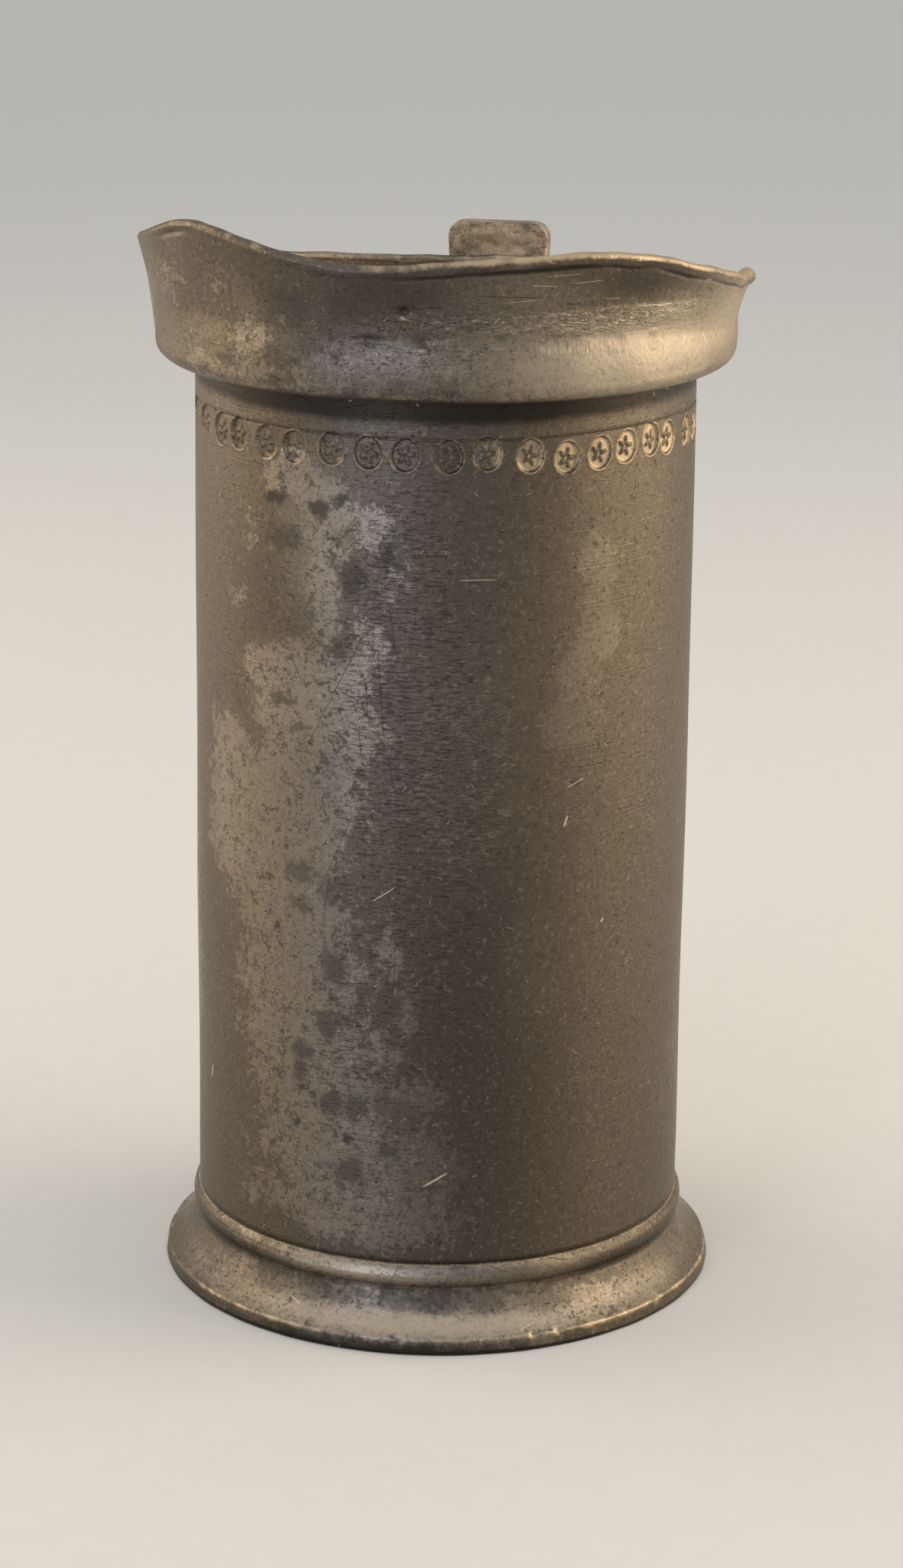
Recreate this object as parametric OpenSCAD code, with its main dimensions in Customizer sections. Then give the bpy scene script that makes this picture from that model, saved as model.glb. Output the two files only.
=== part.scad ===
// Pewter pouring measure: a straight tube on a moulded foot, with a scoop-shaped
// pouring collar and a flat strap handle. Every joint is a soldered lap.
// The axis of the tube is Z, the table is Z = 0, the lip pours towards -Y and the handle is at +Y.

/* [Tube] */
// Inside diameter of the tube
bore_d = 86; // [70:0.5:110]
// Inside depth from the base disc to the brim
bore_depth = 172; // [140:1:220]
// Wall of the tube
wall_t = 3; // [2.4:0.1:5]
// Distance from the brim down to the turned line
line_drop = 11.3; // [8:0.1:30]
// Width of the turned line
line_w = 0.7; // [0.3:0.1:1.5]
// Depth of the turned line
line_depth = 0.3; // [0.1:0.05:0.8]

/* [Base disc and solder] */
// Thickness of the base disc
base_t = 3; // [2:0.1:6]
// Gap that solder fills in each lapped joint
solder_gap = 0.2; // [0.1:0.05:0.4]
// Leg of the solder fillet in a corner
solder_leg = 1.5; // [0.8:0.1:2.5]
// Thickness of the solder under each end of the handle
pad_t = 0.6; // [0.3:0.1:1.2]
// How far that solder squeezes out round the end of the strap
pad_margin = 0.7; // [0.3:0.1:1.5]

/* [Foot ring] */
// Height of the foot ring's top edge above the table
foot_h = 15.3; // [13:0.1:20]
// How far the tube's lower end is turned down to enter the ring
spigot_step = 1; // [0.5:0.1:1.4]
// Height of the inner ledge that carries the tube and the base disc
ledge_z = 5; // [4:0.1:6.5]
// Thickness of the ledge
ledge_t = 2.4; // [1.5:0.1:3]
// How far the ledge reaches inwards past the bore
ledge_in = 2.5; // [1:0.1:5]
// How far the bead stands out from the tube
bead_out = 1.1; // [0.6:0.1:1.8]
// Radius of the bead
bead_r = 2.9; // [1.8:0.1:4]
// How far the neck under the bead stands out from the tube
neck_out = 0.2; // [0:0.1:0.5]
// Height of the neck
neck_h = 0.7; // [0.5:0.1:2.5]
// How far the foot's edge stands out from the tube
foot_out = 6.5; // [5.5:0.1:10]
// Height of the foot's edge above the table
edge_h = 3.1; // [2.2:0.1:4]
// How much the edge draws in from the table upwards
edge_lean = 0.3; // [0:0.1:0.8]
// Radius of the worn upper edge
edge_r = 0.5; // [0.2:0.1:0.9]
// Bevel where the edge meets the table
edge_bevel = 0.6; // [0.2:0.1:1]
// Width of the narrow rim inside the edge
flange_w = 1.2; // [1.1:0.1:2.5]
// How much that rim falls towards the edge
flange_fall = 0.6; // [0.2:0.1:1]
// How hollow the slope between neck and rim is: 0 is straight, 1 is a quarter of an ellipse
cove_hollow = 0.3; // [0:0.05:1]
// Width of the flat ring that rests on the table
rest_w = 2.6; // [1.8:0.1:3.5]

/* [Pouring collar] */
// How far the collar's wall stands out from the tube
collar_out = 7; // [5.5:0.1:10]
// Distance from the brim down to the collar's lower edge
collar_lap = 4; // [3:0.1:6]
// Wall of the collar
collar_t = 2.2; // [1.6:0.1:3]
// Radius of the collar's lower edge
collar_round = 2.8; // [2:0.1:3.5]
// How much the underside rises from the lower edge to the tube
underside_rise = 1.2; // [0.4:0.1:1.8]
// Fillet between the collar's floor and its wall
floor_fillet = 1.6; // [1:0.1:2]
// Swell of the lower wall at the pouring side
collar_swell = 0.5; // [0:0.1:1]
// Height of the rim above the lower edge, at the pouring side
front_rise = 26.6; // [20:0.1:34]
// Height of the rim above the lower edge, at the handle
back_rise = 10; // [9:0.1:16]
// Angle from the pouring side where the rim starts to fall
fall_from = 30; // [15:1:50]
// Angle to the right of the pouring side where the rim has fallen to its back height
right_fall_to = 125; // [100:1:160]
// Angle to the left of the pouring side where the rim has fallen to its back height
left_fall_to = 160; // [110:1:164]
// Outward reach of the lip at the pouring side
lip_flare = 4.6; // [2:0.1:8]
// Share of the wall's height below which the lip stays upright
lip_start = 0.36; // [0.2:0.01:0.6]
// Angle from the pouring side where the lip's reach starts to shrink
flare_from = 35; // [15:1:60]
// Angle from the pouring side where the wall is upright again
flare_to = 130; // [100:1:150]
// Depth of the shallow dip in the middle of the lip
dip = 2.2; // [0:0.1:4]
// Height of the bent-up shoulder to the left of the lip
shoulder = 2.6; // [0:0.1:4]
// Outward reach of the pinched beak at the right-hand side
beak_out = 1.4; // [0:0.1:3]
// Height of the pinched beak
beak_up = 2.2; // [0:0.1:3]
// Angle to the left of the pouring side where the wall starts to lean out straight
straight_from = 25; // [10:1:50]
// Angle to the left of the pouring side where the wall leans out straight
straight_to = 70; // [60:1:110]

/* [Strap handle] */
// Width of the strap at the collar
strap_w_top = 20.2; // [14:0.1:24]
// Width of the strap at its foot
strap_w_foot = 15; // [10:0.1:20]
// Thickness of the strap
strap_t = 4.4; // [3:0.1:5.5]
// Radius of the strap's long edges
strap_edge_r = 1.2; // [0.6:0.1:1.4]
// Height of the upturned tab above the back of the rim
tab_rise = 6; // [3:0.1:10]
// Corner radius of the tab
tab_corner = 3.3; // [1:0.1:4]
// Distance from the tube to the middle of the strap at its widest
handle_reach = 45; // [36:0.5:60]
// Distance from the brim down to the handle's lower joint
handle_drop = 112; // [95:1:130]

/* [Hidden] */
$fn = 144;

// How far a cutting shape runs past the face that it cuts
cut_over = 1;

// Tube and base
bore_r = bore_d / 2;
body_r = bore_r + wall_t;
spigot_r = body_r - spigot_step;
floor_z = ledge_z + base_t;
brim_z = floor_z + bore_depth;
line_z = brim_z - line_drop;
disc_r = bore_r - solder_gap;
// Share of its leg that a solder fillet keeps at the middle of its hollow face
fillet_hollow = 0.35;

// Foot ring
ring_bore_r = spigot_r + solder_gap;
ring_top_z = foot_h - solder_gap;
ledge_r = bore_r - ledge_in;
edge_out_r = body_r + foot_out;
edge_top_r = edge_out_r - edge_lean;
rest_r = edge_out_r - edge_bevel;
neck_r = body_r + neck_out;
bead_x = body_r + bead_out - bead_r;
bead_top_turn = acos((body_r - bead_x) / bead_r);
bead_low_turn = acos((neck_r - bead_x) / bead_r);
bead_z = ring_top_z - bead_r * sin(bead_top_turn);
neck_low_z = bead_z - bead_r * sin(bead_low_turn) - neck_h;
cove_w = edge_top_r - flange_w - neck_r;
cove_h = neck_low_z - edge_h - flange_fall;
// Steps along a moulding
moulding_steps = 8;

// Collar
collar_r = body_r + collar_out;
collar_z = brim_z - collar_lap;
collar_bore_r = body_r + solder_gap;
back_rim_z = collar_z + back_rise;
hub_r = collar_bore_r - cut_over;
// How late the lip turns outwards: 1 is a straight lean
lip_curve = 1.6;
// How late the wall turns outwards where it leans straight, and the share of the lip's start that it keeps
straight_curve = 1.3;
straight_start = 0.2;
// Where the dip, the bent-up shoulder and the pinched beak lie, and how wide they are, in degrees
dip_at = -4;
dip_w = 22;
shoulder_at = -41;
shoulder_w = 15;
beak_at = 97;
beak_w = 12;
// Columns round the collar, and steps up its wall and round its edges
collar_columns = 108;
wall_steps = 8;
edge_steps = 4;

// Handle
tab_y = collar_r + pad_t + strap_t / 2;
tab_top_z = back_rim_z + tab_rise;
pad_low_z = collar_z + collar_round;
pad_high_z = back_rim_z - collar_t / 2;
strap_out_y = body_r + handle_reach;
strap_foot_z = brim_z - handle_drop;
// Middle of the strap where it leaves the collar, level
strap_top_z = collar_z + strap_t / 2;
// Height and softness of the strap's upper bend
bend_h = 36;
bend_soft = 9;
// Where the strap turns in to meet the tube: distance from the tube, and height above the joint
heel_out = 10;
heel_up = 5;
// Steps along each stretch of the strap, and round a quarter of its section
strap_steps = 12;
strap_corner_steps = 3;

pewter = [0.47, 0.43, 0.37];
pale_pewter = [0.53, 0.49, 0.42];
dark_pewter = [0.40, 0.38, 0.34];
solder = [0.62, 0.60, 0.56];

// Rises smoothly from 0 at a to 1 at b
function ease(a, b, x) = let (t = min(max((x - a) / (b - a), 0), 1)) t * t * (3 - 2 * t);

// A rounded hump of height 1 at a place on the rim
function hump(x, at, width) = exp(-pow((x - at) / width, 2));

// Points on an arc of a circle in a section
function arc(cx, cz, r, from, to, steps) = [
    for (i = [0 : steps])
        let (a = from + (to - from) * i / steps)
            [cx + r * cos(a), cz + r * sin(a)]
];

// Height of the collar's underside at a radius: it rises towards the tube
function underside_z(r) = collar_z
    + underside_rise * (collar_r - collar_round - r) / (collar_r - collar_round - collar_bore_r);

// Share by which the rim has fallen from its front height to its back height. The turn
// is measured from the pouring side, and is positive towards +X.
function fallen(turn) = ease(fall_from, turn < 0 ? left_fall_to : right_fall_to, abs(turn));

// Height of the rim above the collar's lower edge
function rim_rise(turn) = front_rise
    - (front_rise - back_rise) * fallen(turn)
    - dip * hump(turn, dip_at, dip_w)
    + shoulder * hump(turn, shoulder_at, shoulder_w)
    + beak_up * hump(turn, beak_at, beak_w);

// Outward reach of the rim past the collar's wall
function rim_flare(turn) = lip_flare * (1 - ease(flare_from, flare_to, abs(turn)))
    + beak_out * hump(turn, beak_at, beak_w);

// Outside radius of the collar's wall at a share of its height: a swell low down, and the lip above.
// To the left of the lip the swell goes and the wall leans out nearly straight.
function wall_r(turn, share) =
    let (
        straight = ease(straight_from, straight_to, -turn),
        start = lip_start * (1 - (1 - straight_start) * straight),
        curve = lip_curve + (straight_curve - lip_curve) * straight
    )
    collar_r
        + collar_swell * sin(180 * min(share / lip_start, 1)) * (1 - fallen(turn)) * (1 - straight)
        + rim_flare(turn) * pow(max(share - start, 0) / (1 - start), curve);

// Closed section of the collar at one turn: underside, outer wall, rounded rim, inner wall and floor
function collar_section(turn) =
    let (
        low = collar_z + collar_round,
        high = collar_z + rim_rise(turn) - collar_t / 2,
        floor_top = brim_z + floor_fillet,
        rim_r = wall_r(turn, 1) - collar_t / 2,
        floor_r = collar_r - collar_t - floor_fillet
    )
    concat(
        [[hub_r, underside_z(hub_r)]],
        arc(collar_r - collar_round, low, collar_round, -90, 0, edge_steps),
        [for (i = [1 : wall_steps - 1])
            [wall_r(turn, i / wall_steps), low + (high - low) * i / wall_steps]],
        arc(rim_r, high, collar_t / 2, 0, 180, edge_steps),
        [for (i = [1 : wall_steps - 1])
            let (z = high + (floor_top - high) * i / wall_steps)
                [wall_r(turn, (z - low) / (high - low)) - collar_t, z]],
        arc(floor_r, floor_top, floor_fillet, 0, -90, edge_steps),
        [[hub_r, brim_z]]
    );

// Faces of a closed tube of rings, each ring of n points, that joins up with itself
function closed_faces(rings, n) = [
    for (i = [0 : rings - 1], k = [0 : n - 1])
        let (
            a = i * n + k,
            b = i * n + (k + 1) % n,
            c = ((i + 1) % rings) * n + (k + 1) % n,
            d = ((i + 1) % rings) * n + k
        )
        each [[a, b, c], [a, c, d]]
];

// Faces of a tube of rings with flat ends
function capped_faces(rings, n) = concat(
    [[for (k = [0 : n - 1]) k]],
    [for (i = [0 : rings - 2], k = [0 : n - 1])
        let (
            a = i * n + k,
            b = i * n + (k + 1) % n
        )
        each [[a, a + n, b + n], [a, b + n, b]]],
    [[for (k = [0 : n - 1]) rings * n - 1 - k]]
);

// Point on a cubic curve
function bezier(p, t) =
    pow(1 - t, 3) * p[0] + 3 * t * pow(1 - t, 2) * p[1] + 3 * t * t * (1 - t) * p[2] + pow(t, 3) * p[3];

// Direction of a cubic curve
function bezier_way(p, t) =
    let (v = pow(1 - t, 2) * (p[1] - p[0]) + 2 * t * (1 - t) * (p[2] - p[1]) + t * t * (p[3] - p[2]))
        v / norm(v);

// Middle line of the strap in the Y-Z plane: down the tab, out from the collar, down and in to the tube
strap_curves = [
    [
        [tab_y, tab_top_z],
        [tab_y, (2 * tab_top_z + pad_high_z) / 3],
        [tab_y, (tab_top_z + 2 * pad_high_z) / 3],
        [tab_y, pad_high_z]
    ],
    [
        [tab_y, pad_high_z],
        [tab_y, (pad_high_z + 2 * strap_top_z) / 3],
        [tab_y + strap_t / 2, strap_top_z],
        [tab_y + 2 * strap_t, strap_top_z]
    ],
    [
        [tab_y + 2 * strap_t, strap_top_z],
        [strap_out_y - bend_soft, strap_top_z],
        [strap_out_y, strap_top_z - bend_soft],
        [strap_out_y, strap_top_z - bend_h]
    ],
    [
        [strap_out_y, strap_top_z - bend_h],
        [strap_out_y, strap_top_z - 2 * bend_h],
        [body_r + 2 * heel_out, strap_foot_z + 4 * heel_up],
        [body_r + heel_out, strap_foot_z + heel_up]
    ],
    [
        [body_r + heel_out, strap_foot_z + heel_up],
        [body_r + 0.7 * heel_out, strap_foot_z + 0.1 * heel_up],
        [body_r + 0.3 * heel_out, strap_foot_z],
        [body_r - wall_t, strap_foot_z]
    ]
];

// Width of the strap: rounded corners at the top of the tab, then a steady taper to the foot
function strap_w(z, share) =
    let (
        drop = min(max(tab_top_z - z, 0), tab_corner),
        inset = tab_corner - sqrt(pow(tab_corner, 2) - pow(tab_corner - drop, 2))
    )
    strap_w_top + (strap_w_foot - strap_w_top) * share - 2 * inset;

// Section of the strap: a flat bar with rounded edges, across X and along its own normal
function strap_ring(at, way, w) = [
    for (q = [0 : 3])
        for (p = arc(0, 0, strap_edge_r, 90 * q, 90 * q + 90, strap_corner_steps))
            let (
                x = p[0] + (q == 0 || q == 3 ? 1 : -1) * (w / 2 - strap_edge_r),
                n = p[1] + (q < 2 ? 1 : -1) * (strap_t / 2 - strap_edge_r)
            )
            [x, at[0] - n * way[1], at[1] + n * way[0]]
];

// Upright cylinder on the axis, between two heights
module column(r, from, to) {
    translate([0, 0, from])
        cylinder(r = r, h = to - from);
}

module body() {
    color(pewter)
        rotate_extrude()
            polygon([
                [bore_r, ledge_z],
                [spigot_r, ledge_z],
                [spigot_r, foot_h],
                [body_r, foot_h],
                [body_r, line_z - line_w / 2],
                [body_r - line_depth, line_z],
                [body_r, line_z + line_w / 2],
                [body_r, brim_z],
                [bore_r, brim_z]
            ]);
}

module base_disc() {
    color(dark_pewter)
        column(disc_r, ledge_z, floor_z);
}

// Outside of the foot from its top edge to the table: bead, neck, hollow slope, narrow rim and worn edge
foot_outline = concat(
    arc(bead_x, bead_z, bead_r, bead_top_turn, -bead_low_turn, moulding_steps),
    [for (i = [0 : moulding_steps])
        let (
            t = i / moulding_steps,
            out = t + cove_hollow * (1 - cos(90 * t) - t),
            down = t + cove_hollow * (sin(90 * t) - t)
        )
            [neck_r + cove_w * out, neck_low_z - cove_h * down]],
    arc(edge_top_r - edge_r, edge_h - edge_r, edge_r, 90, 0, edge_steps),
    [[edge_out_r, edge_bevel], [rest_r, 0]]
);

module foot_ring() {
    color(pewter)
        rotate_extrude()
            polygon(concat(
                foot_outline,
                [
                    [rest_r - rest_w, 0],
                    [rest_r - rest_w - ledge_t, ledge_z - ledge_t],
                    [ledge_r, ledge_z - ledge_t],
                    [ledge_r, ledge_z],
                    [ring_bore_r, ledge_z],
                    [ring_bore_r, ring_top_z]
                ]
            ));
}

module collar() {
    sections = [for (i = [0 : collar_columns - 1]) collar_section(360 * i / collar_columns - 180)];
    count = len(sections[0]);
    points = [
        for (i = [0 : collar_columns - 1])
            let (turn = 360 * i / collar_columns - 180)
            for (p = sections[i])
                [p[0] * sin(turn), -p[0] * cos(turn), p[1]]
    ];
    color(pale_pewter)
        difference() {
            polyhedron(points, closed_faces(collar_columns, count), convexity = 10);
            column(collar_bore_r, collar_z - cut_over, brim_z + cut_over);
        }
}

module handle() {
    last = len(strap_curves) - 1;
    stations = concat(
        [for (s = [0 : last], i = [0 : strap_steps - 1]) [s, i / strap_steps]],
        [[last, 1]]
    );
    rings = [
        for (j = [0 : len(stations) - 1])
            let (
                curve = strap_curves[stations[j][0]],
                at = bezier(curve, stations[j][1]),
                way = bezier_way(curve, stations[j][1]),
                share = j / (len(stations) - 1)
            )
            strap_ring(at, way, strap_w(at[1], share))
    ];
    points = [for (ring = rings) each ring];
    color(pale_pewter)
        difference() {
            polyhedron(points, capped_faces(len(rings), len(rings[0])), convexity = 6);
            column(body_r + pad_t, strap_foot_z - strap_w_foot, strap_foot_z + strap_w_foot);
        }
}

module collar_solder() {
    top = underside_z(collar_bore_r);
    hollow = solder_leg * fillet_hollow;
    color(solder)
        rotate_extrude()
            polygon([
                [body_r, top - solder_leg],
                [body_r + hollow, top - hollow],
                [body_r + solder_leg, underside_z(body_r + solder_leg)],
                [collar_bore_r, top],
                [collar_bore_r, brim_z],
                [body_r, brim_z]
            ]);
}

module base_solder() {
    hollow = solder_leg * fillet_hollow;
    color(solder)
        rotate_extrude()
            polygon([
                [bore_r, ledge_z],
                [bore_r, floor_z + solder_leg],
                [bore_r - hollow, floor_z + hollow],
                [bore_r - solder_leg, floor_z],
                [disc_r, floor_z],
                [disc_r, ledge_z]
            ]);
}

module foot_solder() {
    color(solder)
        rotate_extrude()
            polygon([
                [spigot_r, ledge_z],
                [ring_bore_r, ledge_z],
                [ring_bore_r, ring_top_z],
                [body_r, ring_top_z],
                [body_r, foot_h],
                [spigot_r, foot_h]
            ]);
}

// Fills the wedge between the flat tab and the collar's round wall
module handle_top_solder() {
    w = strap_w_top + 2 * pad_margin;
    color(solder)
        difference() {
            translate([-w / 2, 0, pad_low_z])
                cube([w, collar_r + pad_t, pad_high_z - pad_low_z]);
            column(collar_r, pad_low_z - cut_over, pad_high_z + cut_over);
        }
}

// A thin saddle on the tube under the strap's foot
module handle_foot_solder() {
    w = strap_w_foot + 2 * pad_margin;
    h = strap_t + 2 * pad_margin;
    low = strap_foot_z - h / 2;
    color(solder)
        intersection() {
            difference() {
                column(body_r + pad_t, low, low + h);
                column(body_r, low - cut_over, low + h + cut_over);
            }
            translate([-w / 2, 0, low])
                cube([w, body_r + pad_t + cut_over, h]);
        }
}

body();
base_disc();
foot_ring();
collar();
handle();
collar_solder();
base_solder();
foot_solder();
handle_top_solder();
handle_foot_solder();
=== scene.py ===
# %% [markdown]
# # An old pewter pouring measure
# The jug is five pewter castings held together by soft solder: a tube, a base disc, a moulded foot,
# a scoop-shaped collar and a strap handle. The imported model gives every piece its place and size.
# We could paint that model as it is. Instead each casting is worked out again on a finer grid, because
# stamps, dings and a hand-bent rim need more points than a model for handling and measuring does.

import bpy
import numpy as np
from mathutils import Matrix


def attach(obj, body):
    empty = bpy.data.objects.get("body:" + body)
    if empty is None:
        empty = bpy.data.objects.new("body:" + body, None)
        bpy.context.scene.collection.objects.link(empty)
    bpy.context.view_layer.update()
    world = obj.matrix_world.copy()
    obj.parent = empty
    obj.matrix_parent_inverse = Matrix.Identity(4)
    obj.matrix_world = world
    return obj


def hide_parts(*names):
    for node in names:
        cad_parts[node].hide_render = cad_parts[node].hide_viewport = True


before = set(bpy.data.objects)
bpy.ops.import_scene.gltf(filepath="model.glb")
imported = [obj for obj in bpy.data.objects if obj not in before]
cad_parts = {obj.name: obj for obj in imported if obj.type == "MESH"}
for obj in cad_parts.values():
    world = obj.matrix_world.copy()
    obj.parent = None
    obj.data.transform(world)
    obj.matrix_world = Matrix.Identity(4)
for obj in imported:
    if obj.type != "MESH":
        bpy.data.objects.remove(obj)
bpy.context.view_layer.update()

print("nodes:", ", ".join(sorted(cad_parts)))

# %% [markdown]
# ## Tools of the bench
# A lathe and a hammer leave two kinds of surface: smooth curves, and small unevenness on top of them.
# We could sculpt the unevenness by hand. Sums of sine waves are easier to repeat, and waves that fit a
# whole number of times round the jug meet themselves without a seam.

# %% Curves and unevenness
MM = 0.001


def ease(a, b, x):
    """Smooth step: 0 at a, 1 at b, and t * t * (3 - 2 t) between, where t is the share of the way."""
    t = np.clip((x - a) / (b - a), 0, 1)
    return t * t * (3 - 2 * t)


def hump(x, at, width):
    """Rounded hump of height 1: e to the power of minus the squared distance, counted in widths."""
    return np.exp(-((x - at) / width) ** 2)


def way_round(turn, at):
    """Degrees from one turn to another by the shorter way round the jug."""
    return (turn - at + 180) % 360 - 180


def uneven(turn, along, tight, pitch, seed, waves=28):
    """Hand unevenness: a sum of sine waves, each with a whole number of cycles round the jug, up to
    tight of them, and a wavelength along it of pitch millimetres or more."""
    rng = np.random.default_rng(seed)
    cycles = rng.integers(-tight, tight + 1, waves)
    slopes = rng.uniform(-2 * np.pi, 2 * np.pi, waves) / pitch
    starts = rng.uniform(0, 2 * np.pi, waves)
    parts = [np.sin(k * np.radians(turn) + s * along + p) for k, s, p in zip(cycles, slopes, starts)]
    return sum(parts) / np.sqrt(waves / 2)


def points(*columns):
    """Columns of numbers side by side, one row for each point. A single number is repeated."""
    return np.stack(np.broadcast_arrays(*columns), axis=1)


def arc(cx, cz, r, start, end, steps):
    """Points of a circular arc: centre plus r times (cos a, sin a), from start to end degrees."""
    a = np.radians(np.linspace(start, end, steps))
    return points(cx + r * np.cos(a), cz + r * np.sin(a))


spread = np.std(uneven(np.arange(360.0), 0, 40, 9, 1))
print("the unevenness has a spread of about", round(float(spread), 2))

# %% [markdown]
# ## From a grid to a skin
# Every casting here is a closed section carried round the axis or along a strap, so its points form a
# grid: rows go along the section, columns go round. Blender's Screw modifier could spin a section, but
# it can't change the section on its way. A grid of numbers can, so each point may have its own dent.

# %% Grid to mesh
def spin(radius, height, turn):
    """Cylinder coordinates to x, y, z: the turn counts from the pouring side, and grows towards +X."""
    a = np.radians(turn)
    return radius * np.sin(a), -radius * np.cos(a), height + 0 * radius


def rows_of(turn, *blocks):
    """Stacks blocks of rows, each stretched to every column."""
    return np.concatenate([np.broadcast_to(block, (len(block), turn.size)) for block in blocks])


def face_out(mesh):
    """Turns the faces outwards: the sum of a . (b x c) over the triangles is six times the volume, and a
    negative sum means that the faces look inwards."""
    mesh.calc_loop_triangles()
    corners = np.empty(len(mesh.vertices) * 3)
    mesh.vertices.foreach_get("co", corners)
    triangles = np.empty(len(mesh.loop_triangles) * 3, dtype=np.int32)
    mesh.loop_triangles.foreach_get("vertices", triangles)
    a, b, c = np.moveaxis(corners.reshape(-1, 3)[triangles.reshape(-1, 3)], 1, 0)
    if np.einsum("ij,ij->", a, np.cross(b, c)) < 0:
        mesh.flip_normals()
        mesh.calc_loop_triangles()


def skin(name, xyz, slot, closed=True, **masks):
    """Mesh of a grid of points in millimetres. Columns join up. Rows join up too where the section is
    closed, and otherwise a flat face closes each end. Masks stay on the points for the finish to read."""
    x, y, z = np.broadcast_arrays(*xyz)
    rows, cols = x.shape
    index = np.arange(rows * cols).reshape(rows, cols)
    right, down = np.roll(index, -1, axis=1), np.roll(index, -1, axis=0)
    quads = np.stack([index, right, np.roll(right, -1, axis=0), down], axis=-1)
    quads = quads if closed else quads[:-1]
    ends = [] if closed else [index[0, ::-1], index[-1]]
    sizes = np.concatenate([np.full(quads.size // 4, 4), np.full(len(ends), cols)])
    mesh = bpy.data.meshes.new(name)
    mesh.vertices.add(rows * cols)
    mesh.vertices.foreach_set("co", (np.stack([x, y, z], axis=-1) * MM).ravel())
    mesh.loops.add(int(sizes.sum()))
    mesh.loops.foreach_set("vertex_index", np.concatenate([quads.ravel(), *ends]))
    mesh.polygons.add(len(sizes))
    mesh.polygons.foreach_set("loop_start", np.cumsum(sizes) - sizes)
    mesh.polygons.foreach_set("use_smooth", sizes == 4)
    mesh.update(calc_edges=True)
    face_out(mesh)
    for label, mask in masks.items():
        layer = mesh.attributes.new(label, "FLOAT", "POINT")
        layer.data.foreach_set("value", np.broadcast_to(mask, x.shape).ravel().astype(np.float32))
    piece = bpy.data.objects.new(name, mesh)
    bpy.context.collection.objects.link(piece)
    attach(piece, "root")
    print(f"{name}: {rows} x {cols} points, {len(mesh.loop_triangles)} triangles")
    return piece


print("grid tools ready")

# %% [markdown]
# ## The tube and its row of stamps
# The tube is turned on a lathe: one fine line runs round it under the collar. Below the line a row of oval
# punches was struck over the years, by hand, so no two are level. A bump map could fake them, but a real
# hollow catches light on its edge from every side. Each mark holds a small rosette.

# %% Measures of the tube
BORE_R, TUBE_R, SPIGOT_R = 43.0, 46.0, 45.0
LEDGE_Z, FOOT_TOP, BRIM_Z = 5.0, 15.3, 180.0
BRIM_ROUND_OUT, BRIM_ROUND_IN = 0.3, 0.4
LINE_Z, LINE_W, LINE_DEEP = 168.7, 0.7, 0.3
STAMP_WIDE, STAMP_HIGH, STAMP_DEEP = 2.45, 2.85, 0.5
ROSETTE_OUT, LIP_OUT, PETALS = 0.3, 0.06, 5
BAND_LOW, BAND_HIGH, BAND_STEP = 161.8, 168.3, 0.17
BACK_STAMPS, BACK_STAMP_Z = 21, 165.4

front_stamps = np.array([
    [-70.4, 165.9], [-59.4, 166.0], [-49.5, 165.9], [-42.0, 166.1], [-32.8, 165.7], [-24.8, 165.6],
    [-15.1, 166.2], [-6.5, 166.0], [1.9, 165.9], [11.4, 165.8], [19.7, 166.3], [29.3, 165.7], [38.1, 164.9],
    [46.7, 165.1], [54.5, 165.5], [63.0, 165.8], [70.1, 165.2], [80.9, 164.8], [88.4, 164.7],
])
rng = np.random.default_rng(19)
evenly = np.linspace(front_stamps[-1, 0], 360 + front_stamps[0, 0], BACK_STAMPS + 2)[1:-1]
back_turns = evenly + rng.uniform(-1.6, 1.6, BACK_STAMPS)
back_stamps = points(back_turns, BACK_STAMP_Z + rng.uniform(-0.6, 0.6, BACK_STAMPS))
stamps = np.concatenate([front_stamps, back_stamps])
stamp_lean = rng.uniform(-0.2, 0.2, len(stamps))
print(len(stamps), "stamps round the tube")


# %% Shape of one stamp
def stamp_marks(turn, z):
    """Depth of the struck row, and masks of its worn fields and lips, the lips also lighter as a painted
    highlight, and of dark lines, dirt and painted shade, along the border and round the rosette. Each column
    belongs to its nearest stamp. In that stamp's own oval coordinates, with q = 1 on the border: a field sunk
    inside q = 1, a thin lip pushed up just outside, and a raised rosette whose edge is 0.46 + 0.2 cos(5
    angle).
    The stamps on the right are worn brighter."""
    nearest = np.argmin(np.abs(way_round(turn[..., None], stamps[:, 0])), axis=-1)
    u = np.radians(way_round(turn, stamps[nearest, 0])) * TUBE_R
    v = z - stamps[nearest, 1]
    lean = stamp_lean[nearest]
    across = (u * np.cos(lean) + v * np.sin(lean)) / STAMP_WIDE
    up = (v * np.cos(lean) - u * np.sin(lean)) / STAMP_HIGH
    q = np.hypot(across, up)
    field = ease(1.03, 0.93, q)
    lip = hump(q, 1.1, 0.08)
    petals = 0.46 + 0.2 * np.cos(PETALS * np.arctan2(up, across) + 9 * lean)
    rosette = ease(petals + 0.08, petals - 0.08, q) - ease(0.2, 0.08, q)
    tilt = 1 + 0.3 * across * np.sign(lean)
    depth = STAMP_DEEP * field * tilt - LIP_OUT * lip - ROSETTE_OUT * rosette * field
    bright = ease(5, 40, turn)
    plain = field * (1 - np.clip(rosette, 0, 1))
    rubbed = (0.27 + 0.43 * bright) * plain + (0.5 + 0.15 * bright) * lip
    dirt_and_shade = 0.45 * hump(q, 0.95, 0.06) + 0.5 * hump(q, petals + 0.05, 0.08) * field
    return depth, rubbed, dirt_and_shade


print("one stamp is", 2 * STAMP_WIDE, "x", 2 * STAMP_HIGH, "mm")

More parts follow.
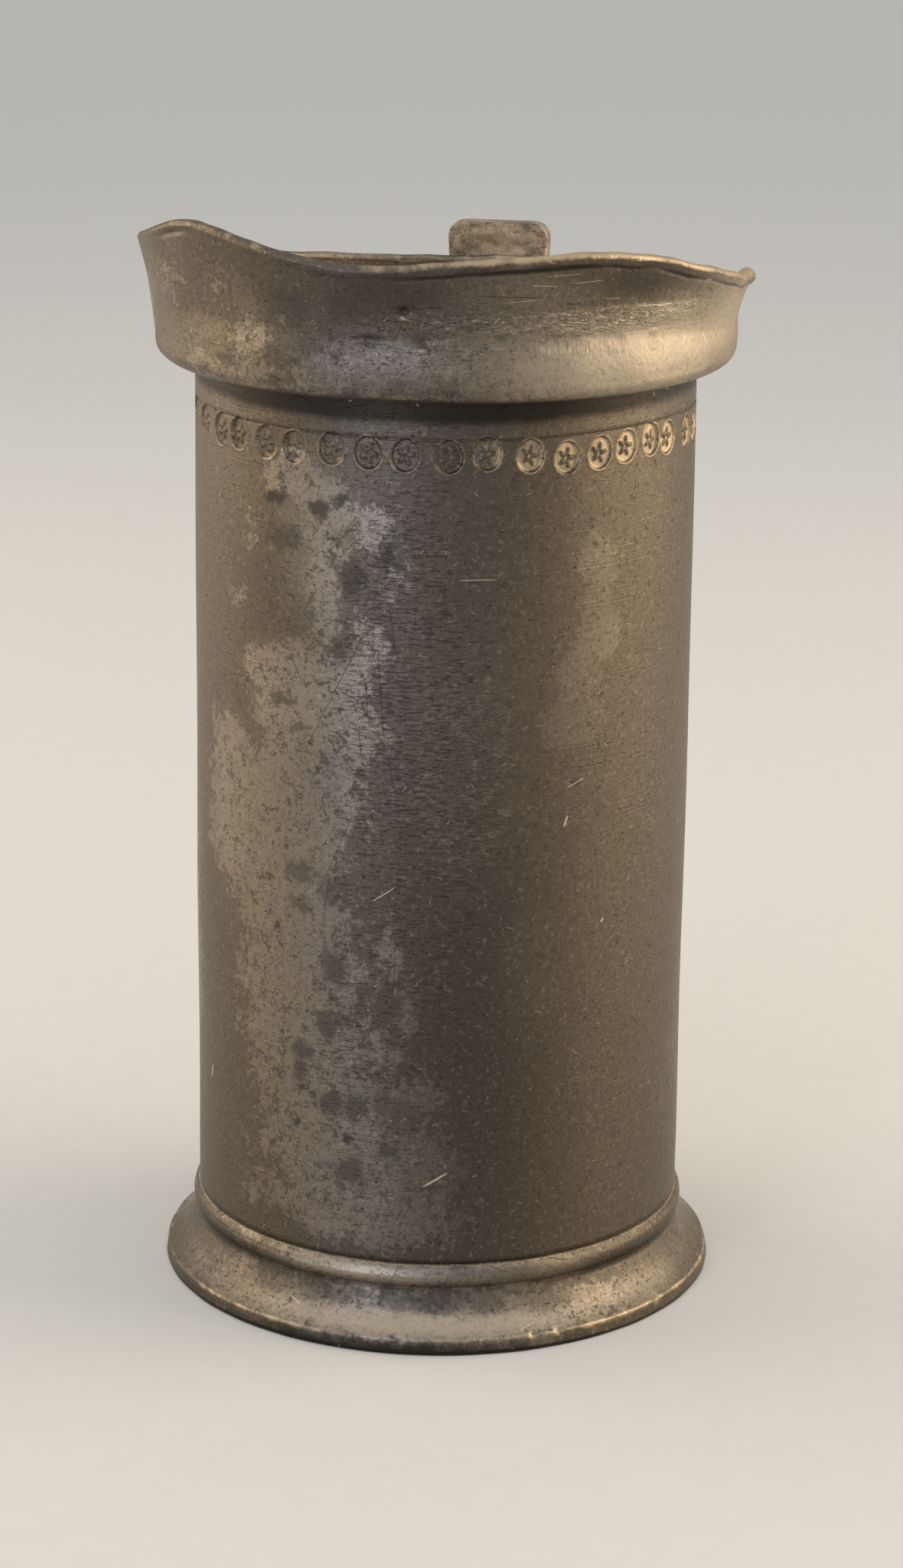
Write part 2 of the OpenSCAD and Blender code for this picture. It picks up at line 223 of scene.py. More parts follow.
# %% Build the tube
turn = np.arange(1080)[None, :] / 3.0 - 180
outside = np.concatenate([
    [FOOT_TOP], np.linspace(FOOT_TOP + 1.2, BAND_LOW - 0.3, 16), np.arange(BAND_LOW, BAND_HIGH, BAND_STEP),
    LINE_Z + LINE_W * np.linspace(-0.5, 0.5, 5), [169.6, 171, 173, 175, 177, 179.4],
])
cut = LINE_DEEP * np.clip(1 - np.abs(outside - LINE_Z) / LINE_W * 2, 0, 1)
section = np.concatenate([
    points(TUBE_R - cut, outside),
    arc(TUBE_R - BRIM_ROUND_OUT, BRIM_Z - BRIM_ROUND_OUT, BRIM_ROUND_OUT, 0, 90, 4),
    arc(BORE_R + BRIM_ROUND_IN, BRIM_Z - BRIM_ROUND_IN, BRIM_ROUND_IN, 90, 180, 5),
    points(BORE_R, np.linspace(BRIM_Z - 2, LEDGE_Z, 8)),
    [[SPIGOT_R, LEDGE_Z], [SPIGOT_R, FOOT_TOP]],
])
r, z = section[:, :1], section[:, 1:]
outer_wall = (r > SPIGOT_R + 0.5) & (z < BRIM_Z - 1)
depth, rubbed, dirt_and_shade = stamp_marks(*np.broadcast_arrays(turn, z))
struck = ease(BAND_LOW, BAND_LOW + 0.2, z) * ease(LINE_Z + 0.7, LINE_Z + 0.3, z) * outer_wall
sway = 0.07 * uneven(turn, z, 9, 60, 3) * outer_wall * ease(16, 22, z)
# Painted shadow: the tube is darkened just under the collar, most on the pouring side, where the collar's
# overhang shades it.
collar_shadow = ease(169.5, 174.0, z) * (1.0 + 0.4 * hump(turn, 2, 42))
tube = skin(
    "tube", spin(r - depth * struck + sway, z, turn), "pewter",
    wear=rubbed * struck + hump(z, BRIM_Z, 0.6) * (r > BORE_R + 0.2),
    grime=outer_wall * (dirt_and_shade * struck + 0.45 * hump(z, LINE_Z, 0.3) + collar_shadow),
    inside=ease(BORE_R + 0.6, BORE_R + 0.2, r))
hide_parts("body")

# %% [markdown]
# ## The base disc
# The floor of the measure is a flat disc, skimmed on the lathe, so faint rings run round its centre. A plain
# circle would do for its outline, but the rings are what a look into the jug shows, so the disc is a
# section too: along the top to the rim, down, and back along the underside.

# %% Build the base disc
DISC_R, FLOOR_Z, RING_OUT, RING_RATE = 42.8, 8.0, 0.035, 2.4
radii = np.concatenate([np.linspace(0.3, DISC_R - 0.3, 110), [DISC_R]])
rings = RING_OUT * np.sin(radii * RING_RATE) * ease(0, 4, radii) * ease(DISC_R, DISC_R - 2, radii)
section = np.concatenate([points(radii, FLOOR_Z - 0.05 + rings), points(radii, LEDGE_Z + 0.05 - rings)[::-1]])
turn = np.arange(240)[None, :] * 1.5 - 180
r, z = section[:, :1], section[:, 1:]
disc = skin(
    "floor_disc", spin(r + 0 * turn, z, turn), "pewter", closed=False,
    wear=0.0, grime=ease(DISC_R - 6, DISC_R, r), inside=ease(6, 7, z))
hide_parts("base_disc")

# %% [markdown]
# ## The moulded foot
# Bead, neck, hollow slope and edge are one casting, cleaned up on the lathe. Its edge has met many tables:
# the crest is worn bright and chipped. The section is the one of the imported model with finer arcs, and its
# corners are rubbed soft by averaging neighbours. The chips are notches, only where the unevenness passes
# a threshold.

# %% Section of the foot
BEAD_R, RING_TOP, NECK_R, NECK_H = 2.9, FOOT_TOP - 0.2, TUBE_R + 0.2, 0.7
BEAD_X = TUBE_R + 1.1 - BEAD_R
EDGE_R, EDGE_H, EDGE_ROUND, HOLLOW = TUBE_R + 6.5, 3.1, 0.5, 0.3
FLANGE_W, FLANGE_FALL, REST_W, UNDER_Z, SEAT_R = 1.2, 0.6, 2.6, 2.6, SPIGOT_R + 0.2
crest_r, rest_r, ledge_r = EDGE_R - 0.3, EDGE_R - 0.6, BORE_R - 2.5
bead_top = np.degrees(np.arccos((TUBE_R - BEAD_X) / BEAD_R))
bead_low = np.degrees(np.arccos((NECK_R - BEAD_X) / BEAD_R))
bead_z = RING_TOP - BEAD_R * np.sin(np.radians(bead_top))
neck_z = bead_z - BEAD_R * np.sin(np.radians(bead_low)) - NECK_H
slope_wide, slope_high = crest_r - FLANGE_W - NECK_R, neck_z - EDGE_H - FLANGE_FALL
t = np.linspace(0, 1, 30)
outline = np.concatenate([
    arc(BEAD_X, bead_z, BEAD_R, bead_top, -bead_low, 26),
    points(
        NECK_R + slope_wide * (t + HOLLOW * (1 - np.cos(t * np.pi / 2) - t)),
        neck_z - slope_high * (t + HOLLOW * (np.sin(t * np.pi / 2) - t))),
    arc(crest_r - EDGE_ROUND, EDGE_H - EDGE_ROUND, EDGE_ROUND, 90, 0, 7),
])
for _ in range(6):
    outline[1:-1] = (outline[:-2] + 2 * outline[1:-1] + outline[2:]) / 4
shown = np.concatenate([
    outline, [[EDGE_R - 0.15, 1.8], [EDGE_R - 0.05, 1.0]],
    arc(EDGE_R - EDGE_ROUND, EDGE_ROUND, EDGE_ROUND, 0, -90, 5),
])
section = np.concatenate([
    shown, [[rest_r - REST_W + 0.4, 0], [rest_r - REST_W, 0.05], [rest_r - REST_W - 2.3, UNDER_Z - 0.1]],
    [[rest_r - REST_W - 2.6, UNDER_Z], [ledge_r + 0.2, UNDER_Z], [ledge_r, UNDER_Z + 0.2]],
    [[ledge_r, LEDGE_Z - 0.1], [ledge_r + 0.1, LEDGE_Z], [SEAT_R, LEDGE_Z], [SEAT_R, RING_TOP]],
])
print("foot section of", len(section), "points, neck at", round(float(neck_z), 1), "mm")

# %% Build the foot
turn = np.arange(900)[None, :] * 0.4 - 180
r, z = section[:, :1], section[:, 1:]
crest = hump(r, crest_r, 0.6) * hump(z, EDGE_H - 0.3, 0.7)
chips = 0.3 * np.clip(uneven(turn, z, 90, 6, 5) - 1.2, 0, 1.0) * crest
knocks = np.clip(uneven(turn, 0.6 * z, 40, 5, 6) - 1.0, 0, 1.0) * hump(z, EDGE_H - 1.2, 1.4)
knocks = 0.15 * knocks * (r > crest_r - 0.5)
lathe = 0.02 * uneven(turn, 3 * r + 4 * z, 2, 3, 8) + 0.025 * uneven(turn, r + z, 30, 9, 9)
rest_marks = 1 - 0.7 * hump(turn, 5, 16) - 0.6 * hump(turn, -72, 24)
# Painted glint: the thin top edge of the foot ring is lightened to worn metal, where it catches light.
top_edge_glint = hump(z, RING_TOP, 0.22) * (r > TUBE_R - 0.5)
# Dirt and painted shade: the neck and the bottom edge darken all round and more on the pouring side, where
# the outer face of the edge is painted as shaded.
neck_dirt_and_shade = (0.22 + 0.22 * hump(turn, 2, 45)) * hump(z, neck_z + 0.5, 1.1) * (r < NECK_R + 1.2)
edge_dirt_and_shade = 0.8 * ease(1.2, 0.2, z) + 0.75 * ease(3.2, 2.3, z) * hump(turn, -2, 40)
foot = skin(
    "foot", spin(r - chips - knocks + lathe * (r > TUBE_R - 0.3), z - chips, turn), "pewter",
    wear=np.clip(0.6 * crest * rest_marks + 0.75 * top_edge_glint, 0, 1),
    grime=neck_dirt_and_shade + edge_dirt_and_shade,
    inside=1.0 * (np.arange(len(section))[:, None] >= len(shown)))
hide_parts("foot_ring")

# %% [markdown]
# ## The pouring collar
# The collar was cast as a plain ring, then its wall was hammered outwards and up into a scoop: high and
# flared where it pours, low at the handle, with a bent-up shoulder on one side and a pinched beak on the
# other. A sculpted mesh could look like it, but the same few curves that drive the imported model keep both
# in step.

# %% Curves of the rim
COLLAR_R, COLLAR_Z, COLLAR_T, COLLAR_ROUND = 53.0, 176.0, 2.2, 2.8
COLLAR_BORE, UNDER_RISE, FILLET = TUBE_R + 0.2, 1.2, 1.6
FRONT_RISE, BACK_RISE, LIP_FLARE, LIP_START, SWELL = 26.6, 10.0, 4.6, 0.36, 0.5
FALL_FROM, FALL_LEFT, FALL_RIGHT = 30, 160, 125
DIP, SHOULDER = (-4, 22, -2.2), (-41, 15, 2.6)
BEAK, BEAK_TIP, NOTCH = (93, 14, 1.9), (95, 6, 0.6), (84, 5, -0.5)


def fallen(turn):
    """Share by which the rim has come down: 0 at the pouring side, 1 where the fall ends on each side."""
    return ease(FALL_FROM, np.where(turn < 0, FALL_LEFT, FALL_RIGHT), np.abs(turn))


def rim_rise(turn):
    """Rim height above the collar's lower edge: the fall, plus humps as (turn, width, rise) for the dip in
    front, the shoulder, the beak and the notch before it."""
    fall = FRONT_RISE - (FRONT_RISE - BACK_RISE) * fallen(turn)
    humps = (DIP, SHOULDER, BEAK, BEAK_TIP, NOTCH)
    return fall + sum(rise * hump(turn, at, width) for at, width, rise in humps)


def wall_r(turn, share):
    """Outside radius of the wall at a share of its height: a low swell, and above it the lip, which leans
    out as the share to the power of 1.6. To the left of the lip the wall leans nearly straight."""
    flare = LIP_FLARE * (1 - ease(35, 130, np.abs(turn))) + 1.1 * hump(turn, 97, 12)
    straight = ease(25, 70, -turn)
    start = LIP_START * (1 - 0.8 * straight)
    swell = SWELL * np.sin(np.pi * np.clip(share / LIP_START, 0, 1)) * (1 - fallen(turn)) * (1 - straight)
    return COLLAR_R + swell + flare * (np.clip(share - start, 0, 1) / (1 - start)) ** (1.6 - 0.3 * straight)


def underside(r):
    """Height of the underside, which rises straight from the lower edge to the tube."""
    edge = COLLAR_R - COLLAR_ROUND
    return COLLAR_Z + UNDER_RISE * (edge - r) / (edge - COLLAR_BORE)


front_high, back_high = (round(float(rim_rise(at)), 1) for at in (0.0, 180.0))
print("rim is", front_high, "mm high in front and", back_high, "at the handle")

# %% Marks of use on the collar
DENTS = [
    (2.8, 192.4, 1.3, 0.8, 0.9), (-3.5, 187.0, 3.2, 0.5, 0.8), (6.0, 187.0, 1.6, 0.8, 0.8),
    (20.5, 187.3, 1.8, 0.9, 0.55), (31.0, 186.6, 3.6, 1.4, 0.35), (44.0, 186.2, 1.7, 0.8, 0.3),
    (53.0, 185.8, 1.4, 0.8, 0.3),
]
KNOCK_TURNS, KNOCK_Z, KNOCK_DEEP = (11.6, 22.1, 25.0), 177.6, 0.7
WRINKLE_Z, FURROW_DROP = 190.0, 2.3


def scooped_dents(turn, z):
    """Dents as (turn, height, half width, half height, depth): a hump inwards, and under it a narrow lip
    outwards."""
    return sum(
        deep * hump(turn, at, wide) * (hump(z, up, high) - 0.4 * hump(z, up - 1.5 * high, 0.45 * high))
        for at, up, wide, high, deep in DENTS)


def collar_marks(turn, z, drop):
    """Inward marks of the outer wall, in millimetres: a wavy furrow under the rolled rim, broad hammer
    facets, a band of fine wrinkles to the right of the lip, knocks on the lower edge and a crease on the
    left."""
    scoop = 1 - fallen(turn)
    furrow = hump(drop, FURROW_DROP + 0.12 * uneven(turn, 0, 38, 9, 21), 0.4) * scoop * ease(-46, -30, turn)
    facets = 0.09 * uneven(turn, z, 26, 14, 22) * scoop
    band = ease(10, 22, turn) * ease(62, 50, turn) * hump(z, WRINKLE_Z, 1.6)
    knocks = sum(KNOCK_DEEP * hump(turn, at, 1.1) for at in KNOCK_TURNS) * hump(z, KNOCK_Z, 1.1)
    crease = 0.6 * hump(turn, -47, 4) * hump(drop, 2.1, 0.45)
    wrinkles = 0.07 * uneven(turn, z, 110, 2, 23) * band
    return (0.1 + 0.24 * ease(-15, 15, turn)) * furrow + facets + wrinkles + knocks + crease


print(len(DENTS), "dents and", len(KNOCK_TURNS), "knocks on the collar")

# %% Section of the collar
CORNER_ROWS, WALL_ROWS, RIM_ROWS, INNER_ROWS = 9, 48, 13, 20
turn = np.arange(900)[None, :] * 0.4 - 180
low, floor_top = COLLAR_Z + COLLAR_ROUND, BRIM_Z + FILLET
waver = 0.11 * uneven(turn, 0, 11, 9, 31) + 0.04 * uneven(turn, 0, 60, 9, 33)
high = COLLAR_Z + rim_rise(turn) - COLLAR_T / 2 + waver
edge = COLLAR_T / 2 * (1 + 0.07 * uneven(turn, 0, 30, 9, 32) + 0.5 * hump(turn, 97, 13))
corner = np.radians(np.linspace(-90, 0, CORNER_ROWS))[:, None]
up = 1 - (1 - np.linspace(0, 1, WALL_ROWS + 2)[1:-1, None]) ** 1.4
bow = np.radians(np.linspace(0, 180, RIM_ROWS))[:, None]
down_z = high + (floor_top - high) * np.linspace(0, 1, INNER_ROWS + 2)[1:-1, None]
hollow = np.radians(np.linspace(0, -90, 6))[:, None]
flat = np.linspace(COLLAR_R - COLLAR_T - FILLET - 0.6, COLLAR_BORE + 0.1, 4)[:, None]
under = np.linspace(COLLAR_BORE, COLLAR_R - COLLAR_ROUND - 0.5, 5)[:, None]
blocks = [
    (COLLAR_R - COLLAR_ROUND + COLLAR_ROUND * np.cos(corner), low + COLLAR_ROUND * np.sin(corner)),
    (wall_r(turn, up), low + (high - low) * up),
    (wall_r(turn, 1) - COLLAR_T / 2 + edge * np.cos(bow), high + edge * np.sin(bow)),
    (wall_r(turn, (down_z - low) / (high - low)) - COLLAR_T, down_z),
    (COLLAR_R - COLLAR_T - FILLET + FILLET * np.cos(hollow), floor_top + FILLET * np.sin(hollow)),
    (flat, BRIM_Z + 0 * flat),
    (np.array([[COLLAR_BORE]]), np.array([[BRIM_Z - 0.1]])),
    (under, underside(under)),
]
r, z = (rows_of(turn, *part) for part in zip(*blocks))
print("collar section of", len(r), "rows")

# %% Build the collar
row, rim_row = np.arange(len(r))[:, None], CORNER_ROWS + WALL_ROWS
outer = ease(2, 8, row) * (row < rim_row + 5)
inner = (row >= rim_row + RIM_ROWS) & (row < rim_row + RIM_ROWS + INNER_ROWS)
drop = high + edge - z
dents = scooped_dents(turn, z) * outer
marks = collar_marks(turn, z, drop) * outer + dents
hammered = 0.08 * uneven(turn, z, 26, 14, 22) * inner
rim_wear = (0.4 + 0.4 * ease(-20, 30, turn)) * hump(drop, 0.3, 0.9) * (row > 40)
low_wear = 0.35 * hump(z, 177.2, 0.9) * (r > COLLAR_R - 1.2)
# Dirt and painted shade in the furrow under the rolled rim, most on the pouring side.
furrow_dirt_and_shade = (0.16 + 0.49 * ease(-15, 15, turn)) * hump(drop, 2.5, 0.45) * outer * ease(-46, -30, turn)
collar = skin(
    "pouring_collar", spin(r - marks + hammered, z, turn), "pewter",
    # The dents' lower lips are lightened, wear and painted highlight. Hollows and dents are darkened as dirt
    # and painted shade, and the underside near the tube as painted shadow under the collar.
    wear=rim_wear + low_wear + 0.9 * np.clip(-4 * dents, 0, 1),
    grime=np.clip(0.9 * marks, 0, 0.65) + furrow_dirt_and_shade + ease(48.5, 46.5, r) * (z < 179),
    # The inside is lightened as painted light, more the deeper it lies under the rim.
    inside=(0.55 + 0.45 * ease(3, 9, drop)) * ((row >= rim_row + 9) & (z > BRIM_Z - 0.05)))
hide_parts("collar")

# %% [markdown]
# ## The strap handle
# The handle was cast flat, bent hot and soldered on: an upturned tab lies against the back of the collar,
# and the strap goes out, down and in to the tube. Blender could sweep a bevelled curve, but the tab's
# rounded top and the foot that follows the tube need a section that changes, so it is a ring of points
# carried along five curves.

# %% Path of the strap
STRAP_TOP_W, STRAP_FOOT_W, STRAP_T, STRAP_ROUND = 20.2, 15.0, 4.4, 1.2
TAB_RISE, TAB_CORNER, TAB_ROUND, PAD_T = 6.0, 3.3, 0.5, 0.6
REACH, FOOT_Z, BEND, SHOULDER_R, DROP = 45.0, 68.0, 8.8, 9, 36
tab_y, tab_top = COLLAR_R + PAD_T + STRAP_T / 2, COLLAR_Z + BACK_RISE + TAB_RISE
joint, top, out_y = COLLAR_Z + BACK_RISE - COLLAR_T / 2, COLLAR_Z + STRAP_T / 2, TUBE_R + REACH
curves = np.array([
    [[tab_y, tab_top], [tab_y, (2 * tab_top + joint) / 3],
     [tab_y, (tab_top + 2 * joint) / 3], [tab_y, joint]],
    [[tab_y, joint], [tab_y, (joint + 2 * top) / 3], [tab_y + BEND / 4, top], [tab_y + BEND, top]],
    [[tab_y + BEND, top], [out_y - SHOULDER_R, top], [out_y, top - SHOULDER_R], [out_y, top - DROP]],
    [[out_y, top - DROP], [out_y, top - 2 * DROP], [TUBE_R + 20, FOOT_Z + 20], [TUBE_R + 10, FOOT_Z + 5]],
    [[TUBE_R + 10, FOOT_Z + 5], [TUBE_R + 7, FOOT_Z + 0.5], [TUBE_R + 3, FOOT_Z], [TUBE_R + PAD_T, FOOT_Z]],
])
t = np.linspace(0, 1, 40, endpoint=False)[:, None]
weights = np.concatenate([(1 - t) ** 3, 3 * t * (1 - t) ** 2, 3 * t * t * (1 - t), t ** 3], axis=1)
path = np.concatenate([np.einsum("tk,skc->stc", weights, curves).reshape(-1, 2), curves[-1, -1:]])
way = np.gradient(path, axis=0)
way /= np.linalg.norm(way, axis=1, keepdims=True)
length = np.concatenate([[0], np.cumsum(np.linalg.norm(np.diff(path, axis=0), axis=1))])[:, None]
strap_long = length[-1, 0]
print("strap is", round(float(strap_long)), "mm long")

# %% Section of the strap
q = np.radians(np.linspace(0, 90, 6))
cos, sin = np.cos(q), np.sin(q)
span, side = np.linspace(1, -1, 18)[1:-1], np.linspace(1, -1, 5)[1:-1]
ring = np.concatenate([
    points(cos, sin, 1, 1), points(0, 1, span, 1), points(-sin, cos, -1, 1), points(-1, 0, -1, side),
    points(-cos, -sin, -1, -1), points(0, -1, -span, -1), points(sin, -cos, 1, -1), points(1, 0, 1, -side),
])
face_x, face_n, corner_x, corner_n = ring.T
share = np.linspace(0, 1, len(path))[:, None]
below = np.clip(tab_top - path[:, 1:], 0, None)
shrink = TAB_CORNER - np.sqrt(TAB_CORNER ** 2 - np.clip(TAB_CORNER - below, 0, None) ** 2)
thin = TAB_ROUND - np.sqrt(TAB_ROUND ** 2 - np.clip(TAB_ROUND - below, 0, None) ** 2)
wide = STRAP_TOP_W + (STRAP_FOOT_W - STRAP_TOP_W) * share - 2 * shrink
thick = np.clip(STRAP_T - 2 * thin, 2 * STRAP_ROUND + 0.02, None)
edge_r = TAB_ROUND + (STRAP_ROUND - TAB_ROUND) * ease(6, 12, below)
print("section of", len(ring), "points")

# %% Build the strap
angle = np.degrees(np.arctan2(face_n, face_x))[None, :] + 40 * corner_x
cast = 0.07 * uneven(angle, length, 9, 7, 41) + 0.05 * uneven(angle, length, 30, 2.2, 42)
x = corner_x * (wide / 2 - edge_r) + edge_r * face_x * (1 + 0.4 * cast)
n = corner_n * (thick / 2 - edge_r) + (edge_r + cast) * face_n
dish = np.clip(1 - corner_x ** 6, 0, 1) * (face_n < -0.9) * ease(0.5, 2.5, below) * ease(9, 7, below)
n = n + dish * (0.15 + 0.16 * uneven(angle, length, 8, 4, 43))
round_tube = TUBE_R + PAD_T - np.sqrt((TUBE_R + PAD_T) ** 2 - x ** 2)
y = path[:, :1] - n * way[:, 1:] - ease(strap_long - 5, strap_long, length) * round_tube
z = path[:, 1:] + n * way[:, :1]
rounded = np.minimum(np.abs(face_x), np.abs(face_n))
seat_dirt = hump(length, strap_long, 4) + 0.8 * hump(length, 12, 4) * (n > 0)
tab_dirt = ease(9, 7, below) * np.maximum(ease(0.8, 1, np.abs(face_x)), ease(0.6, 0.1, below))
strap = skin(
    "strap_handle", (x, y, z), "pewter", closed=False,
    wear=(0.3 + 0.2 * ease(8, 14, below)) * ease(0.1, 0.6, rounded) + 0.25 * hump(length, 62, 26),
    grime=np.clip(-2.5 * cast, 0, 0.5) + seat_dirt + 0.5 * tab_dirt,
    inside=0.0)
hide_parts("handle")

# %% [markdown]
# ## Solder in the joints
# Soft solder fills each lap and is wiped to a hollow fillet, never quite even. A bevel between the castings
# would melt them into one. Separate rings keep the seam visible, and each has a leg that wanders as it
# goes round.

# %% Build the solder fillets
LEG, CLINCH = 1.5, 0.2
turn = np.arange(360)[None, :] - 180.0
s = np.linspace(0, 1, 9)[:, None]


def fillet(start, bend, end):
    """Hollow face of a fillet: a quadratic curve from start to end that leans towards the bend."""
    return (1 - s) ** 2 * start + 2 * s * (1 - s) * bend + s ** 2 * end


def column(*values):
    """Values as rows of one column."""
    return np.array(values)[:, None]


leg = LEG * (1 + 0.14 * uneven(turn, 0, 26, 9, 51))
lap = underside(COLLAR_BORE)
r = rows_of(turn, fillet(TUBE_R, TUBE_R + CLINCH, TUBE_R + leg), column(COLLAR_BORE, COLLAR_BORE, TUBE_R))
z = rows_of(turn, fillet(lap - leg, lap - CLINCH, underside(TUBE_R + leg)), column(lap, BRIM_Z, BRIM_Z))
# Painted shadow: the fillet under the collar is darkened through, as the collar's overhang shades it.
collar_seam = skin("collar_seam", spin(r, z, turn), "solder", grime=0.95)
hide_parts("collar_solder")

leg = LEG * (1 + 0.14 * uneven(turn, 0, 26, 9, 52))
r = rows_of(turn, fillet(BORE_R, BORE_R - CLINCH, BORE_R - leg), column(DISC_R, DISC_R, BORE_R))
z = fillet(FLOOR_Z + leg, FLOOR_Z + CLINCH, FLOOR_Z)
z = rows_of(turn, z, column(FLOOR_Z, LEDGE_Z, LEDGE_Z))
floor_seam = skin("floor_seam", spin(r, z, turn), "solder", grime=0.3)
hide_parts("base_solder")

# %% [markdown]
# ## Building finishes from nodes
# Old pewter is one metal with many skins on it: a grey-brown tarnish, pale clouds where it was rubbed or
# stained, dark oxide spots, scratches, and bright metal on worn edges. Painted pictures would need
# unwrapping. Noise in the jug's own space needs none, and each effect is a node group, so every casting
# can use it.

# %% Node helpers
def add(tree, kind, inputs=None, **settings):
    """Adds a node, sets its properties, and fills its inputs, by name or number, with values or links."""
    node = tree.nodes.new(kind)
    for key, value in settings.items():
        setattr(node, key, value)
    for key, value in (inputs or {}).items():
        if isinstance(value, bpy.types.NodeSocket):
            tree.links.new(value, node.inputs[key])
        else:
            node.inputs[key].default_value = value
    return node


def calc(tree, operation, *values):
    """One step of arithmetic on values that change over the surface."""
    return add(tree, "ShaderNodeMath", dict(enumerate(values)), operation=operation).outputs[0]


def vector(tree, operation, *values):
    """One step of arithmetic on vectors."""
    return add(tree, "ShaderNodeVectorMath", dict(enumerate(values)), operation=operation).outputs[0]


def split(tree, value):
    """The three parts of a vector."""
    return add(tree, "ShaderNodeSeparateXYZ", {0: value}).outputs


def step(tree, value, low, high):
    """Smooth step from 0 at low to 1 at high. Low may be above high."""
    limits = {0: value, 1: low, 2: high}
    return add(tree, "ShaderNodeMapRange", limits, interpolation_type="SMOOTHSTEP").outputs[0]


def mix(tree, share, a, b, strength=1.0):
    """Colour a, and colour b where the share times the strength is 1."""
    share = share if strength == 1.0 else calc(tree, "MULTIPLY", share, strength)
    return add(tree, "ShaderNodeMix", {0: share, 6: a, 7: b}, data_type="RGBA").outputs[2]


def noise(tree, place, size, detail=6.0, rough=0.6, warp=0.0, output=0, dimensions="3D"):
    """Cloudy noise, size in clouds per metre. Output 0 is a value, and output 1 is a colour."""
    inputs = {"Vector": place, "Scale": size, "Detail": detail, "Roughness": rough, "Distortion": warp}
    return add(tree, "ShaderNodeTexNoise", inputs, noise_dimensions=dimensions).outputs[output]


def drawn_out(tree, sheet, along, up, detail=3.0, warp=0.0):
    """Noise on the unrolled wall, stretched: so many waves per metre along the wall and up it."""
    stretched = vector(tree, "MULTIPLY", sheet, (along, up, 0.0))
    return noise(tree, stretched, 1.0, detail, warp=warp, dimensions="2D")


def effect(name, inputs, outputs):
    """Starts a node group with the sockets named, and returns its tree, input sockets and output sockets."""
    tree = bpy.data.node_groups.new(name, "ShaderNodeTree")
    for in_out, labels in (("INPUT", inputs), ("OUTPUT", outputs)):
        for label in labels.split():
            kind = "Vector" if label in ("Place", "Sheet", "Centre", "Reach") else "Float"
            tree.interface.new_socket(label, in_out=in_out, socket_type="NodeSocket" + kind)
    print("effect:", name)
    return tree, add(tree, "NodeGroupInput").outputs, add(tree, "NodeGroupOutput").inputs


def use(tree, group, **inputs):
    """Places an effect in a material, with its own values, and returns its outputs."""
    return add(tree, "ShaderNodeGroup", inputs, node_tree=group).outputs


print("node helpers ready")

# %% [markdown]
# ## Where a mark lies on the jug
# A knock or a stain has a place: so far round, so high up. Unwrapping the mesh would give such a place, but
# the jug is round, so the turn and the height are enough: the group unrolls the wall into a flat sheet, in
# metres. A stain is a soft oval on that sheet, and a gash a leaning line.

# %% Unrolled wall
unroll, given, result = effect("unrolled_wall", "Place Radius", "Sheet")
x, y, z = split(unroll, given["Place"])
turn_round = calc(unroll, "ARCTAN2", x, calc(unroll, "MULTIPLY", y, -1.0))
sheet = add(unroll, "ShaderNodeCombineXYZ", {0: calc(unroll, "MULTIPLY", turn_round, given["Radius"]), 1: z})
unroll.links.new(sheet.outputs[0], result["Sheet"])

# %% Soft stain at a place
stain, given, result = effect("soft_stain", "Sheet Centre Reach Soft", "Mask")
away = vector(stain, "DIVIDE", vector(stain, "SUBTRACT", given["Sheet"], given["Centre"]), given["Reach"])
span = add(stain, "ShaderNodeVectorMath", {0: away}, operation="LENGTH").outputs["Value"]
far, near = calc(stain, "ADD", 1.0, given["Soft"]), calc(stain, "SUBTRACT", 1.0, given["Soft"])
stain.links.new(step(stain, span, far, near), result["Mask"])


# %% Gash at a place
def leaning(tree, sheet, centre, lean):
    """Distances from a centre along a leaning line and across it."""
    away = {"Vector": vector(tree, "SUBTRACT", sheet, centre), "Angle": lean}
    away = add(tree, "ShaderNodeVectorRotate", away, rotation_type="Z_AXIS").outputs[0]
    return [calc(tree, "ABSOLUTE", part) for part in split(tree, away)[:2]]


gash, given, result = effect("gash", "Sheet Centre Lean Length Width", "Mask")
along, across = leaning(gash, given["Sheet"], given["Centre"], given["Lean"])
along = calc(gash, "DIVIDE", along, given["Length"])
across = calc(gash, "DIVIDE", across, given["Width"])
gash.links.new(step(gash, calc(gash, "MAXIMUM", along, across), 1.1, 0.6), result["Mask"])

# %% [markdown]
# ## Tarnish, spots, scratches and grain
# These cover every casting, each with its own strength. Clouds come from noise in two sizes, cut by a soft
# threshold. Scratches come from cells: each cell of a Voronoi pattern holds one short straight scratch at a
# random lean, which is cheaper and crisper than drawing them one by one.

# %% Tarnish clouds
clouds, given, result = effect("tarnish_clouds", "Place Size Lift", "Mask")
broad = noise(clouds, given["Place"], given["Size"], 4.0, 0.62, 0.3)
small = noise(clouds, given["Place"], calc(clouds, "MULTIPLY", given["Size"], 13.0), 4.0, 0.75)
both = calc(clouds, "MULTIPLY_ADD", small, 0.6, calc(clouds, "MULTIPLY", broad, 0.4))
clouds.links.new(step(clouds, calc(clouds, "ADD", both, given["Lift"]), 0.457, 0.553), result["Mask"])

# %% Oxide spots
spots, given, result = effect("oxide_spots", "Place Size Share", "Mask")
blotch = noise(spots, given["Place"], given["Size"], 2.0, 0.55)
speck = noise(spots, given["Place"], calc(spots, "MULTIPLY", given["Size"], 4.0), 3.0, 0.7)
both = calc(spots, "MULTIPLY_ADD", speck, 0.4, calc(spots, "MULTIPLY", blotch, 0.6))
spots.links.new(step(spots, calc(spots, "ADD", both, given["Share"]), 0.555, 0.61), result["Mask"])

